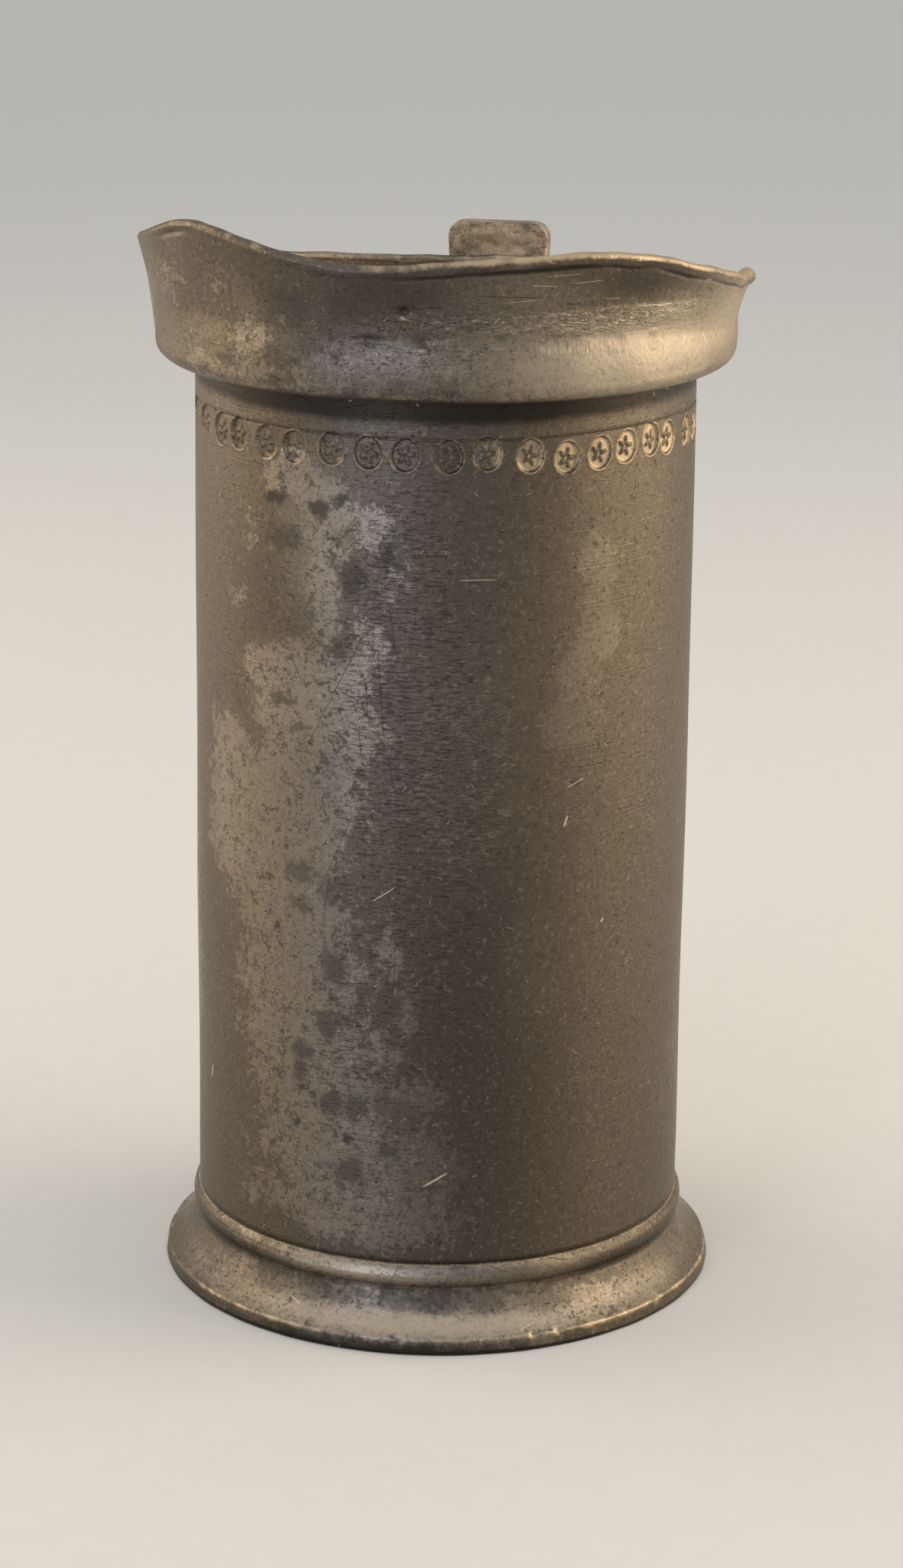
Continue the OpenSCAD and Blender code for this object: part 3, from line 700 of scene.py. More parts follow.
# %% Short scratches
LINE_FAR, LINE_NEAR = 0.00009, 0.00003
scratches, given, result = effect("short_scratches", "Sheet Size Share Spread Longest", "Mask")
inputs = {"Vector": given["Sheet"], "Scale": given["Size"]}
cells = add(scratches, "ShaderNodeTexVoronoi", inputs, voronoi_dimensions="2D").outputs
pick = add(scratches, "ShaderNodeSeparateColor", {0: cells["Color"]}).outputs
lean = calc(scratches, "MULTIPLY", calc(scratches, "SUBTRACT", pick[0], 0.5), given["Spread"])
along, across = leaning(scratches, given["Sheet"], cells["Position"], lean)
longest = calc(scratches, "MULTIPLY", calc(scratches, "MULTIPLY_ADD", pick[2], 0.4, 0.15), given["Longest"])
ends = step(scratches, calc(scratches, "DIVIDE", along, longest), 1.0, 0.5)
line = calc(scratches, "MULTIPLY", step(scratches, across, LINE_FAR, LINE_NEAR), ends)
chosen = calc(scratches, "LESS_THAN", pick[1], given["Share"])
scratches.links.new(calc(scratches, "MULTIPLY", line, chosen), result["Mask"])

# %% Pits and chatter
chatter, given, result = effect("pits_and_chatter", "Place Sheet Pits Chatter", "Mask")
dots = calc(chatter, "ADD", noise(chatter, given["Place"], 1300.0, 2.0), given["Pits"])
dashes = calc(chatter, "ADD", drawn_out(chatter, given["Sheet"], 400.0, 2600.0, 2.0, 0.5), given["Chatter"])
both = calc(chatter, "MAXIMUM", step(chatter, dots, 0.56, 0.66), step(chatter, dashes, 0.58, 0.68))
chatter.links.new(both, result["Mask"])

# %% Turning lines, cast grain and crinkles
grain, given, result = effect("lathe_and_grain", "Place Sheet Turning Grain Crinkle Brush", "Height Crests")
inputs = {"W": split(grain, given["Place"])[2], "Scale": 2600.0, "Detail": 3.0}
turned = add(grain, "ShaderNodeTexNoise", inputs, noise_dimensions="1D").outputs[0]
fade = step(grain, noise(grain, given["Place"], 45.0, 3.0), 0.4, 0.62)
height = calc(grain, "MULTIPLY", calc(grain, "MULTIPLY", turned, fade), given["Turning"])
height = calc(grain, "MULTIPLY_ADD", noise(grain, given["Place"], 900.0, 4.0, 0.7), given["Grain"], height)
creased = drawn_out(grain, given["Sheet"], 380.0, 1450.0, warp=1.5)
height = calc(grain, "MULTIPLY_ADD", creased, given["Crinkle"], height)
height = calc(grain, "MULTIPLY_ADD", drawn_out(grain, given["Sheet"], 2400.0, 110.0), given["Brush"], height)
grain.links.new(height, result["Height"])
grain.links.new(calc(grain, "MULTIPLY", step(grain, creased, 0.52, 0.66), given["Crinkle"]), result["Crests"])

# %% Worn edges and painted glints
glint_and_wear_group, given, result = effect("edge_wear_and_glints", "Place Wear", "Mask")
broken = calc(glint_and_wear_group, "SUBTRACT", noise(glint_and_wear_group, given["Place"], 260.0, rough=0.7), 0.5)
broken = calc(glint_and_wear_group, "MULTIPLY_ADD", broken, 1.3, given["Wear"])
glint_and_wear_group.links.new(step(glint_and_wear_group, broken, 0.3, 0.85), result["Mask"])

# %% [markdown]
# ## One pewter, several castings
# A casting's finish starts from the tarnish and lays the effects over it: clouds, then spots, then scratches,
# then grime and painted shade in the hollows, and bright metal with painted glints on the edges. One function
# builds them all, so the castings stay one metal, and the numbers in each call say how that casting was
# handled.

# %% Parts of a finish
# The warm and tan colours are the tarnish and its pale clouds in painted warm light on the sides; the cool
# and cloud colours are the same in a painted cool sheen on the pouring side.
WARM, COOL, OXIDE = (0.128, 0.101, 0.071, 1), (0.102, 0.086, 0.073, 1), (0.050, 0.042, 0.034, 1)
TAN, CLOUD, BRIGHT = (0.228, 0.183, 0.132, 1), (0.208, 0.180, 0.155, 1), (0.47, 0.394, 0.295, 1)
# The soot colour also paints shade, the lining colour is lightened as painted light where the inside lies in
# shade, and the worn colour also paints glints on thin edges.
SOOT_AND_SHADE, LIT_LINING, WORN_AND_GLINT = (0.023, 0.0195, 0.016, 1), (0.27, 0.22, 0.155, 1), (0.44, 0.335, 0.215, 1)
SWAY, STRAY = 0.012, 0.006


def on_sheet(turn, z, radius):
    """Centre of a mark on the unrolled wall, in metres."""
    return (np.radians(turn) * radius * MM, z * MM, 0.0)


def gather(tree, masks):
    """The strongest of several masks at each point."""
    total = None
    for mask in masks:
        total = mask if total is None else calc(tree, "MAXIMUM", total, mask)
    return 0.0 if total is None else total


def strayed(tree, place, size, detail, rough):
    """Noise as a vector about zero, to move the edges of a pattern."""
    return vector(tree, "SUBTRACT", noise(tree, place, size, detail, rough, output=1), (0.5, 0.5, 0.5))


def painted(tree, name):
    """A mask that was kept on the points of a piece."""
    return add(tree, "ShaderNodeAttribute", attribute_name=name).outputs["Fac"]


def new_finish(name):
    """A new material, with its tree, its shader and the place of each point on the piece."""
    material = bpy.data.materials.new(name)
    material.use_nodes = True
    tree = material.node_tree
    return material, tree, tree.nodes["Principled BSDF"], add(tree, "ShaderNodeTexCoord").outputs["Object"]


def feed(tree, shader, height, distance, **sockets):
    """Links the sockets of a shader, and a height through a Bump node to its Normal."""
    bump = add(tree, "ShaderNodeBump", {"Height": height, "Distance": distance, "Strength": 0.8})
    for label, value in (sockets | {"Normal": bump.outputs[0]}).items():
        tree.links.new(value, shader.inputs[label.replace("_", " ")])


def dress(piece, material):
    """Gives a piece one finish."""
    piece.data.materials.clear()
    piece.data.materials.append(material)


print("parts of a finish ready")


# %% Pewter finish
def pewter(name, radius, lift=-0.1, spotty=-0.05, pitted=-0.05, turning=0.0, grain_height=0.7, rough=0.43,
           metal=0.97, bright=BRIGHT, fray=0.007, **marks):
    """A pewter finish. Marks are lists by kind: pale, dark, dimmed, tinted, rubbed, chattered, crinkled and
    brushed stains as (turn, height, half width, half height, strength), and bright gashes and dark scores as
    (turn, height, lean, half length, half width), in degrees and millimetres. The dimmed stains darken as
    oxide and as painted shade, and the rubbed ones lighten as polish and as painted highlight. Bright is the
    colour of polished metal and of painted highlights, and fray is how far the edges of spots stray, in
    metres."""
    material, tree, shader, place = new_finish(name)
    wear, grime, inside = (painted(tree, key) for key in ("wear", "grime", "inside"))
    sheet = use(tree, unroll, Place=place, Radius=radius * MM)[0]
    frayed = vector(tree, "MULTIPLY_ADD", strayed(tree, place, 110.0, 7.0, 0.7), (SWAY,) * 3, sheet)
    jitter = strayed(tree, place, 420.0, 4.0, 0.75)
    ragged = vector(tree, "MULTIPLY_ADD", jitter, (fray,) * 3, sheet)
    frayed = vector(tree, "MULTIPLY_ADD", jitter, (STRAY,) * 3, frayed)

    def stains(kind, wall, soft):
        return gather(tree, (
            calc(tree, "MULTIPLY", strength, use(
                tree, stain, Sheet=wall, Centre=on_sheet(turn, z, radius),
                Reach=(wide * MM, high * MM, 1.0), Soft=soft)[0])
            for turn, z, wide, high, strength in marks.get(kind, ())))

    def lines(kind):
        return gather(tree, (
            use(tree, gash, Sheet=sheet, Centre=on_sheet(turn, z, radius), Lean=np.radians(-lean),
                Length=half_length * MM, Width=half_width * MM)[0]
            for turn, z, lean, half_length, half_width in marks.get(kind, ())))

    def scratched(size, share, spread, longest):
        return use(tree, scratches, Sheet=sheet, Size=size, Share=share, Spread=spread, Longest=longest)[0]

    raised = calc(tree, "MULTIPLY_ADD", stains("pale", frayed, 0.6), 0.30, lift)
    cloud = use(tree, clouds, Place=place, Size=45.0, Lift=raised)[0]
    # Polished patches: polish from handling, and painted highlights where lamp light falls.
    polish_and_highlight = stains("rubbed", ragged, 0.8)
    clean = step(tree, polish_and_highlight, 0.75, 0.3)
    share = calc(tree, "MULTIPLY_ADD", cloud, 0.06, spotty)
    speckle = use(tree, spots, Place=place, Size=480.0, Share=share)[0]
    blots = calc(tree, "MAXIMUM", stains("dark", ragged, 0.45), calc(tree, "MULTIPLY", speckle, 0.7))
    blots = calc(tree, "MULTIPLY", blots, clean)
    pecked = calc(tree, "MULTIPLY_ADD", stains("chattered", sheet, 0.5), 0.15, -0.11)
    pits = use(tree, chatter, Place=place, Sheet=sheet, Pits=pitted, Chatter=pecked)[0]
    pits = calc(tree, "MULTIPLY", pits, clean)
    grooves = calc(tree, "MULTIPLY", scratched(75.0, 0.3, 3.1, 0.0133), clean)
    strokes = scratched(260.0, 0.55, 5.0, 0.0024)
    strokes = calc(tree, "MULTIPLY", strokes, calc(tree, "MULTIPLY", cloud, clean))
    grooves = calc(tree, "MAXIMUM", grooves, lines("scores"))
    nicks = calc(tree, "MULTIPLY", scratched(190.0, 0.3, 6.3, 0.0014), 0.6)
    cuts = lines("gashes")
    # Wear on edges, and painted glints on thin edges and lips, both in the worn colour.
    edges = use(tree, glint_and_wear_group, Place=place, Wear=wear)[0]
    cloudy = noise(tree, place, 150.0, 4.0)
    soot_and_shade = calc(tree, "MULTIPLY_ADD", calc(tree, "SUBTRACT", cloudy, 0.5), 0.6, grime)
    fine = noise(tree, place, 1100.0, 3.0, 0.75)
    # Painted light: the tarnish is cooler on the pouring side, as a painted cool sheen, and warmer on the
    # sides, as painted warm light.
    side = calc(tree, "ABSOLUTE", calc(tree, "SUBTRACT", split(tree, sheet)[0], 0.002))
    warm_lit_side = step(tree, calc(tree, "MULTIPLY_ADD", cloudy, 0.02, side), 0.020, 0.042)
    crinkle = calc(tree, "MULTIPLY", stains("crinkled", sheet, 0.4), 6.0)
    brush = calc(tree, "MULTIPLY", stains("brushed", sheet, 0.25), 2.0)
    relief = use(tree, grain, Place=place, Sheet=sheet, Turning=turning, Grain=grain_height, Crinkle=crinkle,
                 Brush=brush)

    colour = mix(tree, cloud, mix(tree, warm_lit_side, COOL, WARM), mix(tree, warm_lit_side, CLOUD, TAN))
    colour = mix(tree, stains("tinted", frayed, 0.25), colour, mix(tree, warm_lit_side, CLOUD, TAN))
    # Darkened patches: oxide, and painted shade where the wall lies away from the lamps.
    colour = mix(tree, stains("dimmed", sheet, 0.9), colour, OXIDE)
    colour = mix(tree, polish_and_highlight, colour, bright, 0.9)
    mottle = calc(tree, "MULTIPLY_ADD", clean, 0.15, 0.25)
    colour = mix(tree, calc(tree, "MULTIPLY", step(tree, fine, 0.48, 0.34), mottle), colour, OXIDE)
    colour = mix(tree, step(tree, fine, 0.54, 0.72), colour, bright, 0.22)
    colour = mix(tree, blots, colour, OXIDE)
    # The inside's own duller lining, lightened as painted light where the inside lies in shade.
    colour = mix(tree, inside, colour, LIT_LINING, 0.75)
    colour = mix(tree, gather(tree, (pits, grooves, strokes)), colour, SOOT_AND_SHADE, 0.6)
    # Grime and painted shade: the mask darkens hollows as dirt, and the places under overhangs as painted
    # shadow.
    colour = mix(tree, step(tree, soot_and_shade, 0.15, 0.95), colour, SOOT_AND_SHADE, 0.92)
    colour = mix(tree, edges, colour, WORN_AND_GLINT)
    colour = mix(tree, calc(tree, "MAXIMUM", cuts, nicks), colour, bright)
    colour = mix(tree, relief["Crests"], colour, bright, 0.1)

    dull = calc(tree, "MULTIPLY_ADD", edges, 0.04, rough)
    for mask, change in ((blots, 0.12), (cloud, -0.08), (fine, 0.08), (polish_and_highlight, 0.14)):
        dull = calc(tree, "MULTIPLY_ADD", mask, change, dull)
    sheen = calc(tree, "MULTIPLY_ADD", inside, -0.6, calc(tree, "MULTIPLY_ADD", blots, -0.25, metal))

    # The height leaves clouds and spots out: with their long lists in it, the tube rendered black.
    height = calc(tree, "MULTIPLY_ADD", pits, -0.6, relief["Height"])
    height = calc(tree, "MULTIPLY_ADD", calc(tree, "MAXIMUM", grooves, cuts), -0.6, height)
    feed(tree, shader, height, 0.00012, Base_Color=colour, Roughness=dull, Metallic=sheen)
    print(name, "has", len(tree.nodes), "nodes")
    return material


# %% Finish of the tube
dress(tube, pewter(
    "tube_pewter", TUBE_R, lift=-0.162, pitted=-0.055, turning=0.5,
    pale=[
        (-25, 160, 6.5, 3.6, 1), (-16, 157, 7, 4.8, 1), (-8, 153, 6.6, 4.8, 0.8), (-17, 148, 3.9, 4.8, 1),
        (-17, 141, 3.3, 5.4, 1), (-17, 135, 2.2, 3.6, 0.9), (-29, 125, 8.6, 4.2, 1),
        (-17, 125, 9.3, 4.8, 1), (-21, 117, 13, 6.6, 1), (-6, 131, 4.2, 4.8, 0.75), (-47, 108, 7.7, 6.6, 1),
        (-29, 109, 9.5, 3.6, 1), (-43, 137, 2.6, 1.8, 0.7), (-37, 148, 2.3, 3.6, 0.6),
        (-9, 115, 6.1, 5.4, 0.9), (1, 143, 3.4, 6.6, 0.55), (-36, 102, 18, 8, 1), (-14, 104, 7, 7, 0.75),
        (-34, 93, 18, 11, 1), (-27, 82, 15, 10, 0.95), (-24, 68, 16, 11, 0.9), (-18, 56, 18, 8, 0.9),
        (-13, 46, 19, 9, 0.88), (-10, 35, 20, 9, 0.88), (-8, 24, 21, 8, 0.85), (-0.5, 76, 1.8, 8, 0.75),
        (3, 64, 2, 6, 0.75), (122, 118, 16, 34, 0.62), (128, 76, 22, 36, 0.7), (120, 36, 30, 24, 0.66),
        (172, 60, 20, 44, 0.56), (-162, 30, 26, 22, 0.64), (-118, 122, 18, 34, 0.66),
        (-126, 80, 24, 38, 0.7), (-112, 40, 28, 26, 0.66), (-84, 72, 15, 44, 0.64),
    ],
    dark=[
        (-18, 155, 2.1, 1.9, 0.9), (-13, 157, 1.2, 1.2, 0.9), (-30, 156, 2.2, 1.3, 0.9),
        (-28, 160, 1, 1, 0.75), (-27, 149, 3.7, 2.3, 0.6), (-10, 143, 2.4, 3.6, 0.75),
        (-2, 148, 1.8, 2.2, 0.75), (-15, 150, 1.6, 0.8, 0.9), (-15, 147, 1, 1, 0.75),
        (-28, 120, 3, 1.5, 0.7), (-23, 115, 2.1, 1.2, 0.6), (-13, 130, 1.9, 2.4, 0.55),
        (-14, 71, 2.6, 3.2, 0.75), (-15, 85, 2.6, 2.4, 0.6), (-23, 88, 3.2, 2.2, 0.6),
        (-23, 82, 2.3, 1.6, 0.6), (-16, 60, 2.4, 2.4, 0.75), (-22, 54, 2.3, 1.9, 0.75),
        (-23, 50, 1.9, 1.9, 0.75), (-14, 65, 1.1, 1, 0.75), (-15, 45, 2.7, 2.2, 0.75),
        (-9, 45, 2.5, 2.4, 0.75), (1, 59, 2.1, 2.2, 0.6), (-2, 46, 2.2, 2.7, 0.6), (-11, 39, 1.1, 1, 0.9),
        (-24, 40, 1.2, 0.8, 0.9), (6, 43, 0.8, 0.8, 0.75), (-1, 37, 2.2, 1.6, 0.75),
        (-10, 32, 3.4, 2.4, 0.75), (-31, 35, 1.2, 0.8, 0.75), (-30, 77, 1, 0.8, 0.9),
        (-28, 57, 1.1, 0.8, 0.75), (-21, 47, 0.9, 0.8, 0.9), (2, 44, 2.7, 3.2, 0.55), (150, 120, 2, 2, 0.9),
        (-140, 80, 2.2, 2, 0.9), (172, 60, 1.6, 1.6, 0.9), (122, 100, 2, 2.4, 0.75),
        (129, 86, 1.6, 2, 0.75), (113, 76, 2.4, 1.8, 0.75), (-120, 118, 2, 2.6, 0.75),
        (-127, 104, 1.8, 1.6, 0.75), (-148, 48, 2.2, 2, 0.75),
    ],
    # The broad patch low on the front right is painted shade; the small one on the upper left darkens the
    # tarnish.
    dimmed=[(15, 48, 17, 46, 0.65), (-33, 138, 7, 12, 0.25)],
    tinted=[
        (47, 146, 4.6, 4.5, 0.5), (47, 138, 3.6, 3.4, 0.3), (48, 131.5, 4.5, 4, 0.5),
        (42, 125, 4.5, 5, 0.4), (40, 117, 6, 6, 0.3), (30, 70, 6, 12, 0.15),
    ],
    # Painted highlights: soft light patches on the left of the tube.
    rubbed=[(-19, 150, 7, 13, 0.25), (-24, 121, 8, 9, 0.16), (-47, 96, 5, 15, 0.14)],
    chattered=[(3, 125, 13, 40, 1), (8, 92, 14, 36, 0.8), (-6, 55, 12, 34, 0.6), (180, 100, 30, 40, 0.6)],
    crinkled=[(16, 110, 9, 22, 0.26)],
    gashes=[
        (10, 31.9, 32, 2.7, 0.2), (-57.7, 41.9, 80, 1.3, 0.35), (39.5, 98.7, 70, 1.1, 0.25),
        (50.2, 78.7, 60, 0.5, 0.25), (18, 144, 0, 3.4, 0.09), (-2.1, 86.1, 35, 2.6, 0.1),
        (42, 105.6, 20, 2.0, 0.1),
    ],
    scores=[
        (-15.2, 120.7, 63, 13.9, 0.1), (-3.1, 122.5, -86, 10.2, 0.1), (-6.3, 121.7, -87, 3.8, 0.1),
        (-7.9, 113.9, -84, 3.2, 0.1), (-23.9, 125.8, -63, 2.8, 0.1), (-16.9, 123.8, 13, 1.7, 0.25),
        (-10.2, 122, -20, 2, 0.15), (-5.4, 130.3, 72, 1.9, 0.1), (-30, 70, 40, 9, 0.08),
        (22, 62, -52, 8, 0.08), (-14, 92, 66, 10, 0.08), (150, 110, 50, 12, 0.1), (-110, 80, -40, 14, 0.1),
    ]))

# %% Finish of the collar
dress(collar, pewter(
    "collar_pewter", COLLAR_R, lift=-0.13, turning=0.15, grain_height=1.6, rough=0.41,
    pale=[
        (-29, 186, 3.4, 5, 0.62), (-42, 179, 7, 3, 0.5), (-30, 179, 7, 3, 0.65), (-18, 179, 7, 3, 0.6),
        (-22, 189, 1, 1, 0.8), (-5, 182.4, 8, 4, 0.32), (-53, 193.8, 5, 6, 0.45), (-36, 192.8, 4, 5, 0.4),
        (-10, 180, 7, 3, 0.4), (10, 184, 8, 5, 0.3), (-75, 188, 12, 10, 0.5), (150, 181, 20, 5, 0.6),
        (-140, 182, 20, 5, 0.6),
    ],
    dark=[
        (-20, 192, 3.9, 3.6, 0.5), (-16, 185.4, 1.9, 1.9, 0.45), (-13, 184.4, 0.9, 0.9, 0.7),
        (-11, 187.4, 0.8, 1, 0.7), (-36, 180.7, 1.9, 0.9, 0.45), (1, 195.9, 8, 3.2, 0.5),
        (-24, 183.4, 0.9, 1.3, 0.5), (-7, 192.3, 3.9, 2.6, 0.5), (-41, 178.1, 1, 0.6, 0.6),
        (-28, 182.3, 0.6, 0.6, 0.6), (-19, 182.6, 0.8, 0.8, 0.6), (47, 196.6, 8, 2.6, 0.4),
    ],
    # Darker under the lip in front: oxide, and painted shade in the hollow under the lip.
    dimmed=[(44, 197, 15, 3, 0.5), (4, 194, 13, 4, 0.3)],
    tinted=[
        (-30, 189, 2.4, 7, 0.4), (-34, 180.5, 9, 3.4, 0.4), (3, 183.5, 7, 4, 0.45),
        (-10, 180.5, 8, 3, 0.35), (-60, 186, 8, 10, 0.25),
    ],
    # Polished patches on the collar, made lighter as a painted highlight on the right front.
    rubbed=[
        (50, 182.5, 26, 6.5, 0.95), (58, 188, 12, 4, 0.6), (30, 186, 15, 5, 0.4), (26, 195, 12, 4, 0.16),
        (80, 186, 18, 9, 0.7), (120, 182, 20, 5, 0.3),
    ],
    chattered=[(10, 187, 18, 6, 0.4), (40, 194, 16, 3, 0.3)],
    crinkled=[(36, 190, 25, 2.0, 1), (4, 188, 12, 5, 0.15), (86, 190, 8, 8, 0.35)],
    brushed=[
        (31, 186.3, 3.4, 2.2, 1), (37, 185.6, 2.2, 1.4, 0.7), (44, 186.2, 2.4, 1.8, 0.7),
        (53, 185.6, 1.6, 1.8, 0.8),
    ],
    gashes=[
        (52.5, 191.8, -3, 3.6, 0.12), (69.4, 184.1, -52, 1.6, 0.3), (67.5, 185.4, -60, 1.8, 0.1),
        (28, 196.8, -5, 2.4, 0.07), (36, 197.2, 3, 2.8, 0.06), (31, 198.6, 2, 3.0, 0.05),
        (24, 194.2, 4, 2.2, 0.06), (42, 193.8, -4, 1.8, 0.05), (29.6, 184.2, 6, 1.4, 0.05),
        (33.2, 184.1, -5, 1.2, 0.05), (53, 183.9, 3, 1.4, 0.05), (44, 184.3, -8, 1.2, 0.05),
    ],
    scores=[(5, 193, 2, 5, 0.1), (22, 195, -3, 6, 0.1)]))

# %% Finish of the foot
dress(foot, pewter(
    "foot_pewter", EDGE_R, spotty=-0.06, turning=0.3, grain_height=0.8, fray=0.003,
    pale=[
        (-10, 5, 40, 4, 0.7), (30, 5, 20, 4, 0.7), (-16, 13, 20, 3, 0.7), (140, 8, 36, 9, 0.6),
        (-120, 8, 36, 9, 0.6),
    ],
    dark=[
        (-75, 7, 10, 5, 0.3), (10, 8.4, 7, 2.2, 0.6), (22, 8, 4, 2, 0.5), (-14, 8.8, 8, 1.8, 0.5),
        (2, 9, 5, 2, 0.65), (36, 7.4, 6, 2, 0.4), (-30, 8.4, 6, 2, 0.4), (28, 13, 5, 1.4, 0.3),
        (-34, 12.6, 6, 1.6, 0.3),
    ],
    dimmed=[(-58, 5.5, 28, 7, 0.9), (62, 8, 18, 7, 0.5)],
    tinted=[(-8, 13.2, 26, 3, 1), (30, 13, 16, 2.8, 0.9), (8, 5.6, 30, 2.4, 0.3)],
    # The front patches on the flange and the bead are painted highlights, where light from above falls on
    # them.
    rubbed=[
        (8, 4.6, 28, 1.7, 0.85), (-10, 13, 14, 1.6, 0.5), (62, 5, 14, 2, 0.3), (150, 5, 60, 4, 0.3),
        (-130, 5, 60, 4, 0.3),
    ],
    gashes=[(30, 4, 12, 1.6, 0.12), (-22, 6, -20, 1.4, 0.12)]))

# %% Finish of strap and base disc
dress(strap, pewter(
    "strap_pewter", COLLAR_R, lift=-0.06, spotty=-0.03, pitted=-0.01, grain_height=1.4, rough=0.55, metal=0.2,
    # Painted light: the warm bright colour and the pale and polished patches lighten and warm the tab, as it
    # stands in the collar's shade and takes little warm light.
    bright=(0.84, 0.62, 0.40, 1),
    pale=[(180, 187, 20, 9, 1), (-180, 187, 20, 9, 1), (180, 140, 12, 20, 0.5), (180, 95, 10, 14, 0.5)],
    dark=[
        (177, 189.6, 3, 1.4, 0.55), (-176, 187.4, 2.4, 1.6, 0.55), (-179, 190.4, 2, 0.9, 0.5),
        (173, 187, 2, 2, 0.5), (-172, 190, 1.6, 1.2, 0.5),
    ],
    rubbed=[
        (180, 189, 12, 5, 0.57), (-180, 189, 12, 5, 0.57), (177, 190.6, 3.4, 0.8, 0.7),
        (-177, 188.4, 3, 0.9, 0.7), (178, 187.2, 5, 0.9, 0.75), (-172, 189.4, 1.2, 2, 0.65),
        (172, 188.6, 1.3, 1.8, 0.65), (-178, 190.8, 2, 0.6, 0.65),
    ],
    gashes=[(178, 150, 75, 3, 0.12)]))
dress(disc, pewter(
    "disc_pewter", DISC_R, lift=-0.05, spotty=-0.01, pitted=0.0, grain_height=0.6, rough=0.5,
    pale=[(0, 8, 30, 3, 0.4)], dark=[(90, 8, 20, 3, 0.4)]))

# %% [markdown]
# ## Solder
# Solder is softer and paler than the castings and dulls to an even grey, with a faint crust where it froze.
# It needs no stains of its own, so it shares only the clouds, the grain, and grime with painted shadow.

# %% Finish of the solder
DULL_SOLDER, PALE_SOLDER = (0.10, 0.09, 0.075, 1), (0.24, 0.22, 0.185, 1)
solder, tree, shader, place = new_finish("wiped_solder")
crust = use(tree, clouds, Place=place, Size=190.0, Lift=-0.01)[0]
colour = mix(tree, painted(tree, "grime"), mix(tree, crust, DULL_SOLDER, PALE_SOLDER), SOOT_AND_SHADE)
dull = calc(tree, "MULTIPLY_ADD", crust, -0.15, 0.58)
height = use(tree, grain, Place=place, Grain=1.2)[0]
feed(tree, shader, height, 0.00015, Base_Color=colour, Roughness=dull)
shader.inputs["Metallic"].default_value = 0.9
for piece in (collar_seam, floor_seam):
    dress(piece, solder)
for node in ("foot_solder", "handle_top_solder", "handle_foot_solder"):
    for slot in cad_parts[node].material_slots:
        slot.material = solder
print("solder on 5 joints")

# %% [markdown]
# ## Studio
# Metal shows what stands round it, so the light is most of its look. Two tall soft boxes to the left and
# right draw the long highlights, and a smaller one in front, on the left, gives the cool streak. The floor is
# wide and pale, and the sky round it is the same pale grey. A picture of a room would be quicker, but it
# would not be plain.

# %% Floor
FLOOR_R, FLOOR_SIDES, FLOOR_LOW = 6000.0, 96, -0.05
turn = np.linspace(0, 360, FLOOR_SIDES, endpoint=False)
floor_points = points(*spin(FLOOR_R + 0 * turn, FLOOR_LOW, turn)) * MM
floor_mesh = bpy.data.meshes.new("pale_floor")
floor_mesh.from_pydata(floor_points.tolist(), [], [list(range(FLOOR_SIDES))])
pale_floor = bpy.data.objects.new("pale_floor", floor_mesh)
bpy.context.collection.objects.link(pale_floor)
paper, tree, shader, place = new_finish("studio_paper")
fibre = mix(tree, noise(tree, place, 180.0, 4.0), (0.575, 0.56, 0.53, 1), (0.615, 0.60, 0.57, 1))
tree.links.new(fibre, shader.inputs["Base Color"])
shader.inputs["Roughness"].default_value = 0.9
shader.inputs["Specular IOR Level"].default_value = 0.1
dress(pale_floor, paper)
print("floor of", 2 * FLOOR_R * MM, "m across")

# %% Sky
HORIZON, ZENITH = 0.28, 0.95
world = bpy.data.worlds.new("studio_sky")
bpy.context.scene.world = world
world.use_nodes = True
tree = world.node_tree
up = split(tree, add(tree, "ShaderNodeTexCoord").outputs["Generated"])[2]
limits = {0: up, 1: 0.0, 2: 0.9, 3: HORIZON, 4: ZENITH}
brightness = add(tree, "ShaderNodeMapRange", limits, interpolation_type="SMOOTHSTEP")
tree.links.new(brightness.outputs[0], tree.nodes["Background"].inputs["Strength"])
tree.nodes["Background"].inputs["Color"].default_value = (0.99, 0.995, 1.0, 1)
print("sky from", HORIZON, "to", ZENITH)

# %% Soft boxes
VIEW_TURN = np.radians(10.5)
BOX_LOW, TALL, SHORT = 0.02, 0.80, 0.60
WARM_LIGHT, COOL_LIGHT = (1.0, 0.86, 0.68), (0.76, 0.85, 1.0)


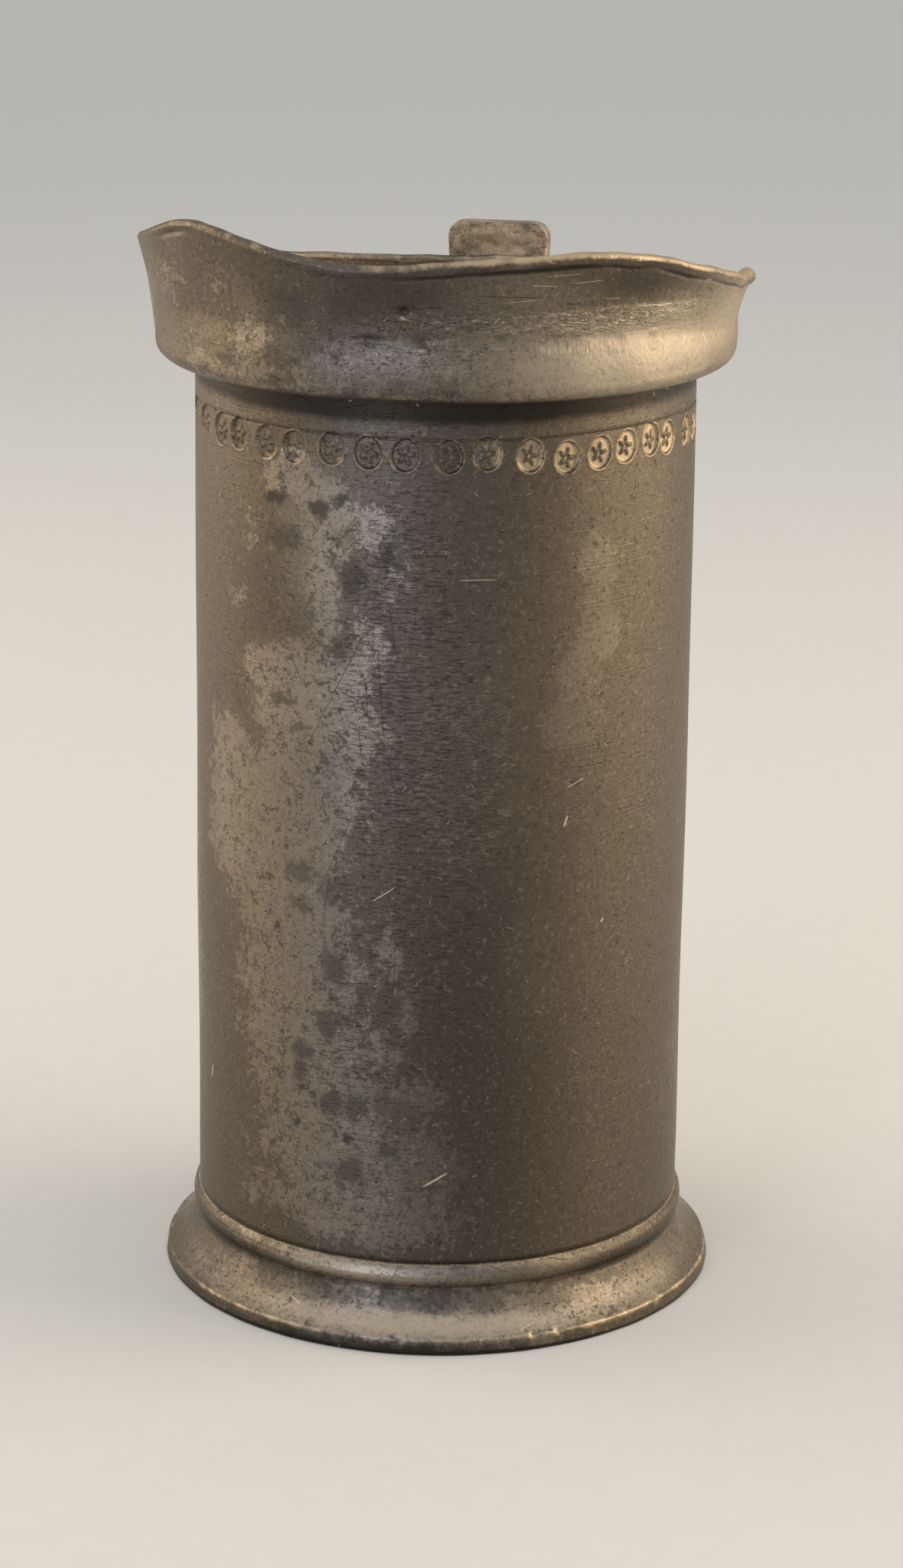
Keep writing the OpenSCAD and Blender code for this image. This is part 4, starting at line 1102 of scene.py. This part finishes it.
def soft_box(name, bearing, distance, width, high, power, colour):
    """Upright area light that faces the jug: its bearing counts from the camera's side, towards the right."""
    a = np.radians(bearing) + VIEW_TURN
    back = np.array([np.sin(a), -np.cos(a), 0.0])
    side = np.array([np.cos(a), np.sin(a), 0.0])
    centre = back * distance + [0, 0, (BOX_LOW + high) / 2]
    lamp = bpy.data.lights.new(name, "AREA")
    lamp.shape, lamp.size, lamp.size_y = "RECTANGLE", width, high - BOX_LOW
    lamp.energy, lamp.color = power, colour
    box = bpy.data.objects.new(name, lamp)
    pose = np.vstack([np.column_stack([side, [0, 0, 1], back, centre]), [0, 0, 0, 1]])
    box.matrix_world = Matrix(pose.tolist())
    box.visible_camera = False
    bpy.context.collection.objects.link(box)
    print(name, "at", np.round(centre, 2).tolist())


soft_box("left_box", -105, 0.85, 0.9, TALL, 6.0, WARM_LIGHT)
soft_box("right_box", 92, 0.80, 0.8, TALL, 8.0, WARM_LIGHT)
soft_box("cool_box", -30, 0.98, 0.34, SHORT, 3.2, COOL_LIGHT)

# %% [markdown]
# ## Camera
# The photograph looks down by about sixteen degrees, from a good way off, which keeps the tube's sides
# nearly parallel. Moving a camera by eye would come close. Here its place was worked out from the tube's
# edges and the foot's ellipse, and the view is turned so that the handle stands a little to the right.

# %% Camera at the photograph's angle
PITCH, YAW, ROLL = 0.2851, 0.0026, 0.0116
EYE = np.array([0, -724.1, 305.8])
FOCAL_PIXELS, PHOTO_HIGH, SENSOR = 5221.6, 2048, 36.0
forward = np.array([np.sin(YAW) * np.cos(PITCH), np.cos(YAW) * np.cos(PITCH), -np.sin(PITCH)])
right = np.array([np.cos(YAW), -np.sin(YAW), 0.0])
upward = np.cross(right, forward)
view_x = np.cos(ROLL) * right + np.sin(ROLL) * upward
view_y = np.cos(ROLL) * upward - np.sin(ROLL) * right
pose = np.eye(4)
pose[:3] = np.column_stack([view_x, view_y, -forward, EYE * MM])
lens = bpy.data.cameras.new("photo_camera")
lens.sensor_fit, lens.sensor_height, lens.lens = "VERTICAL", SENSOR, FOCAL_PIXELS * SENSOR / PHOTO_HIGH
lens.clip_start = 0.01
camera = bpy.data.objects.new("photo_camera", lens)
camera.matrix_world = Matrix.Rotation(VIEW_TURN, 4, "Z") @ Matrix(pose.tolist())
bpy.context.collection.objects.link(camera)
bpy.context.scene.camera = camera
bpy.context.scene.view_settings.view_transform = "Standard"
print("lens", round(lens.lens, 1), "mm")
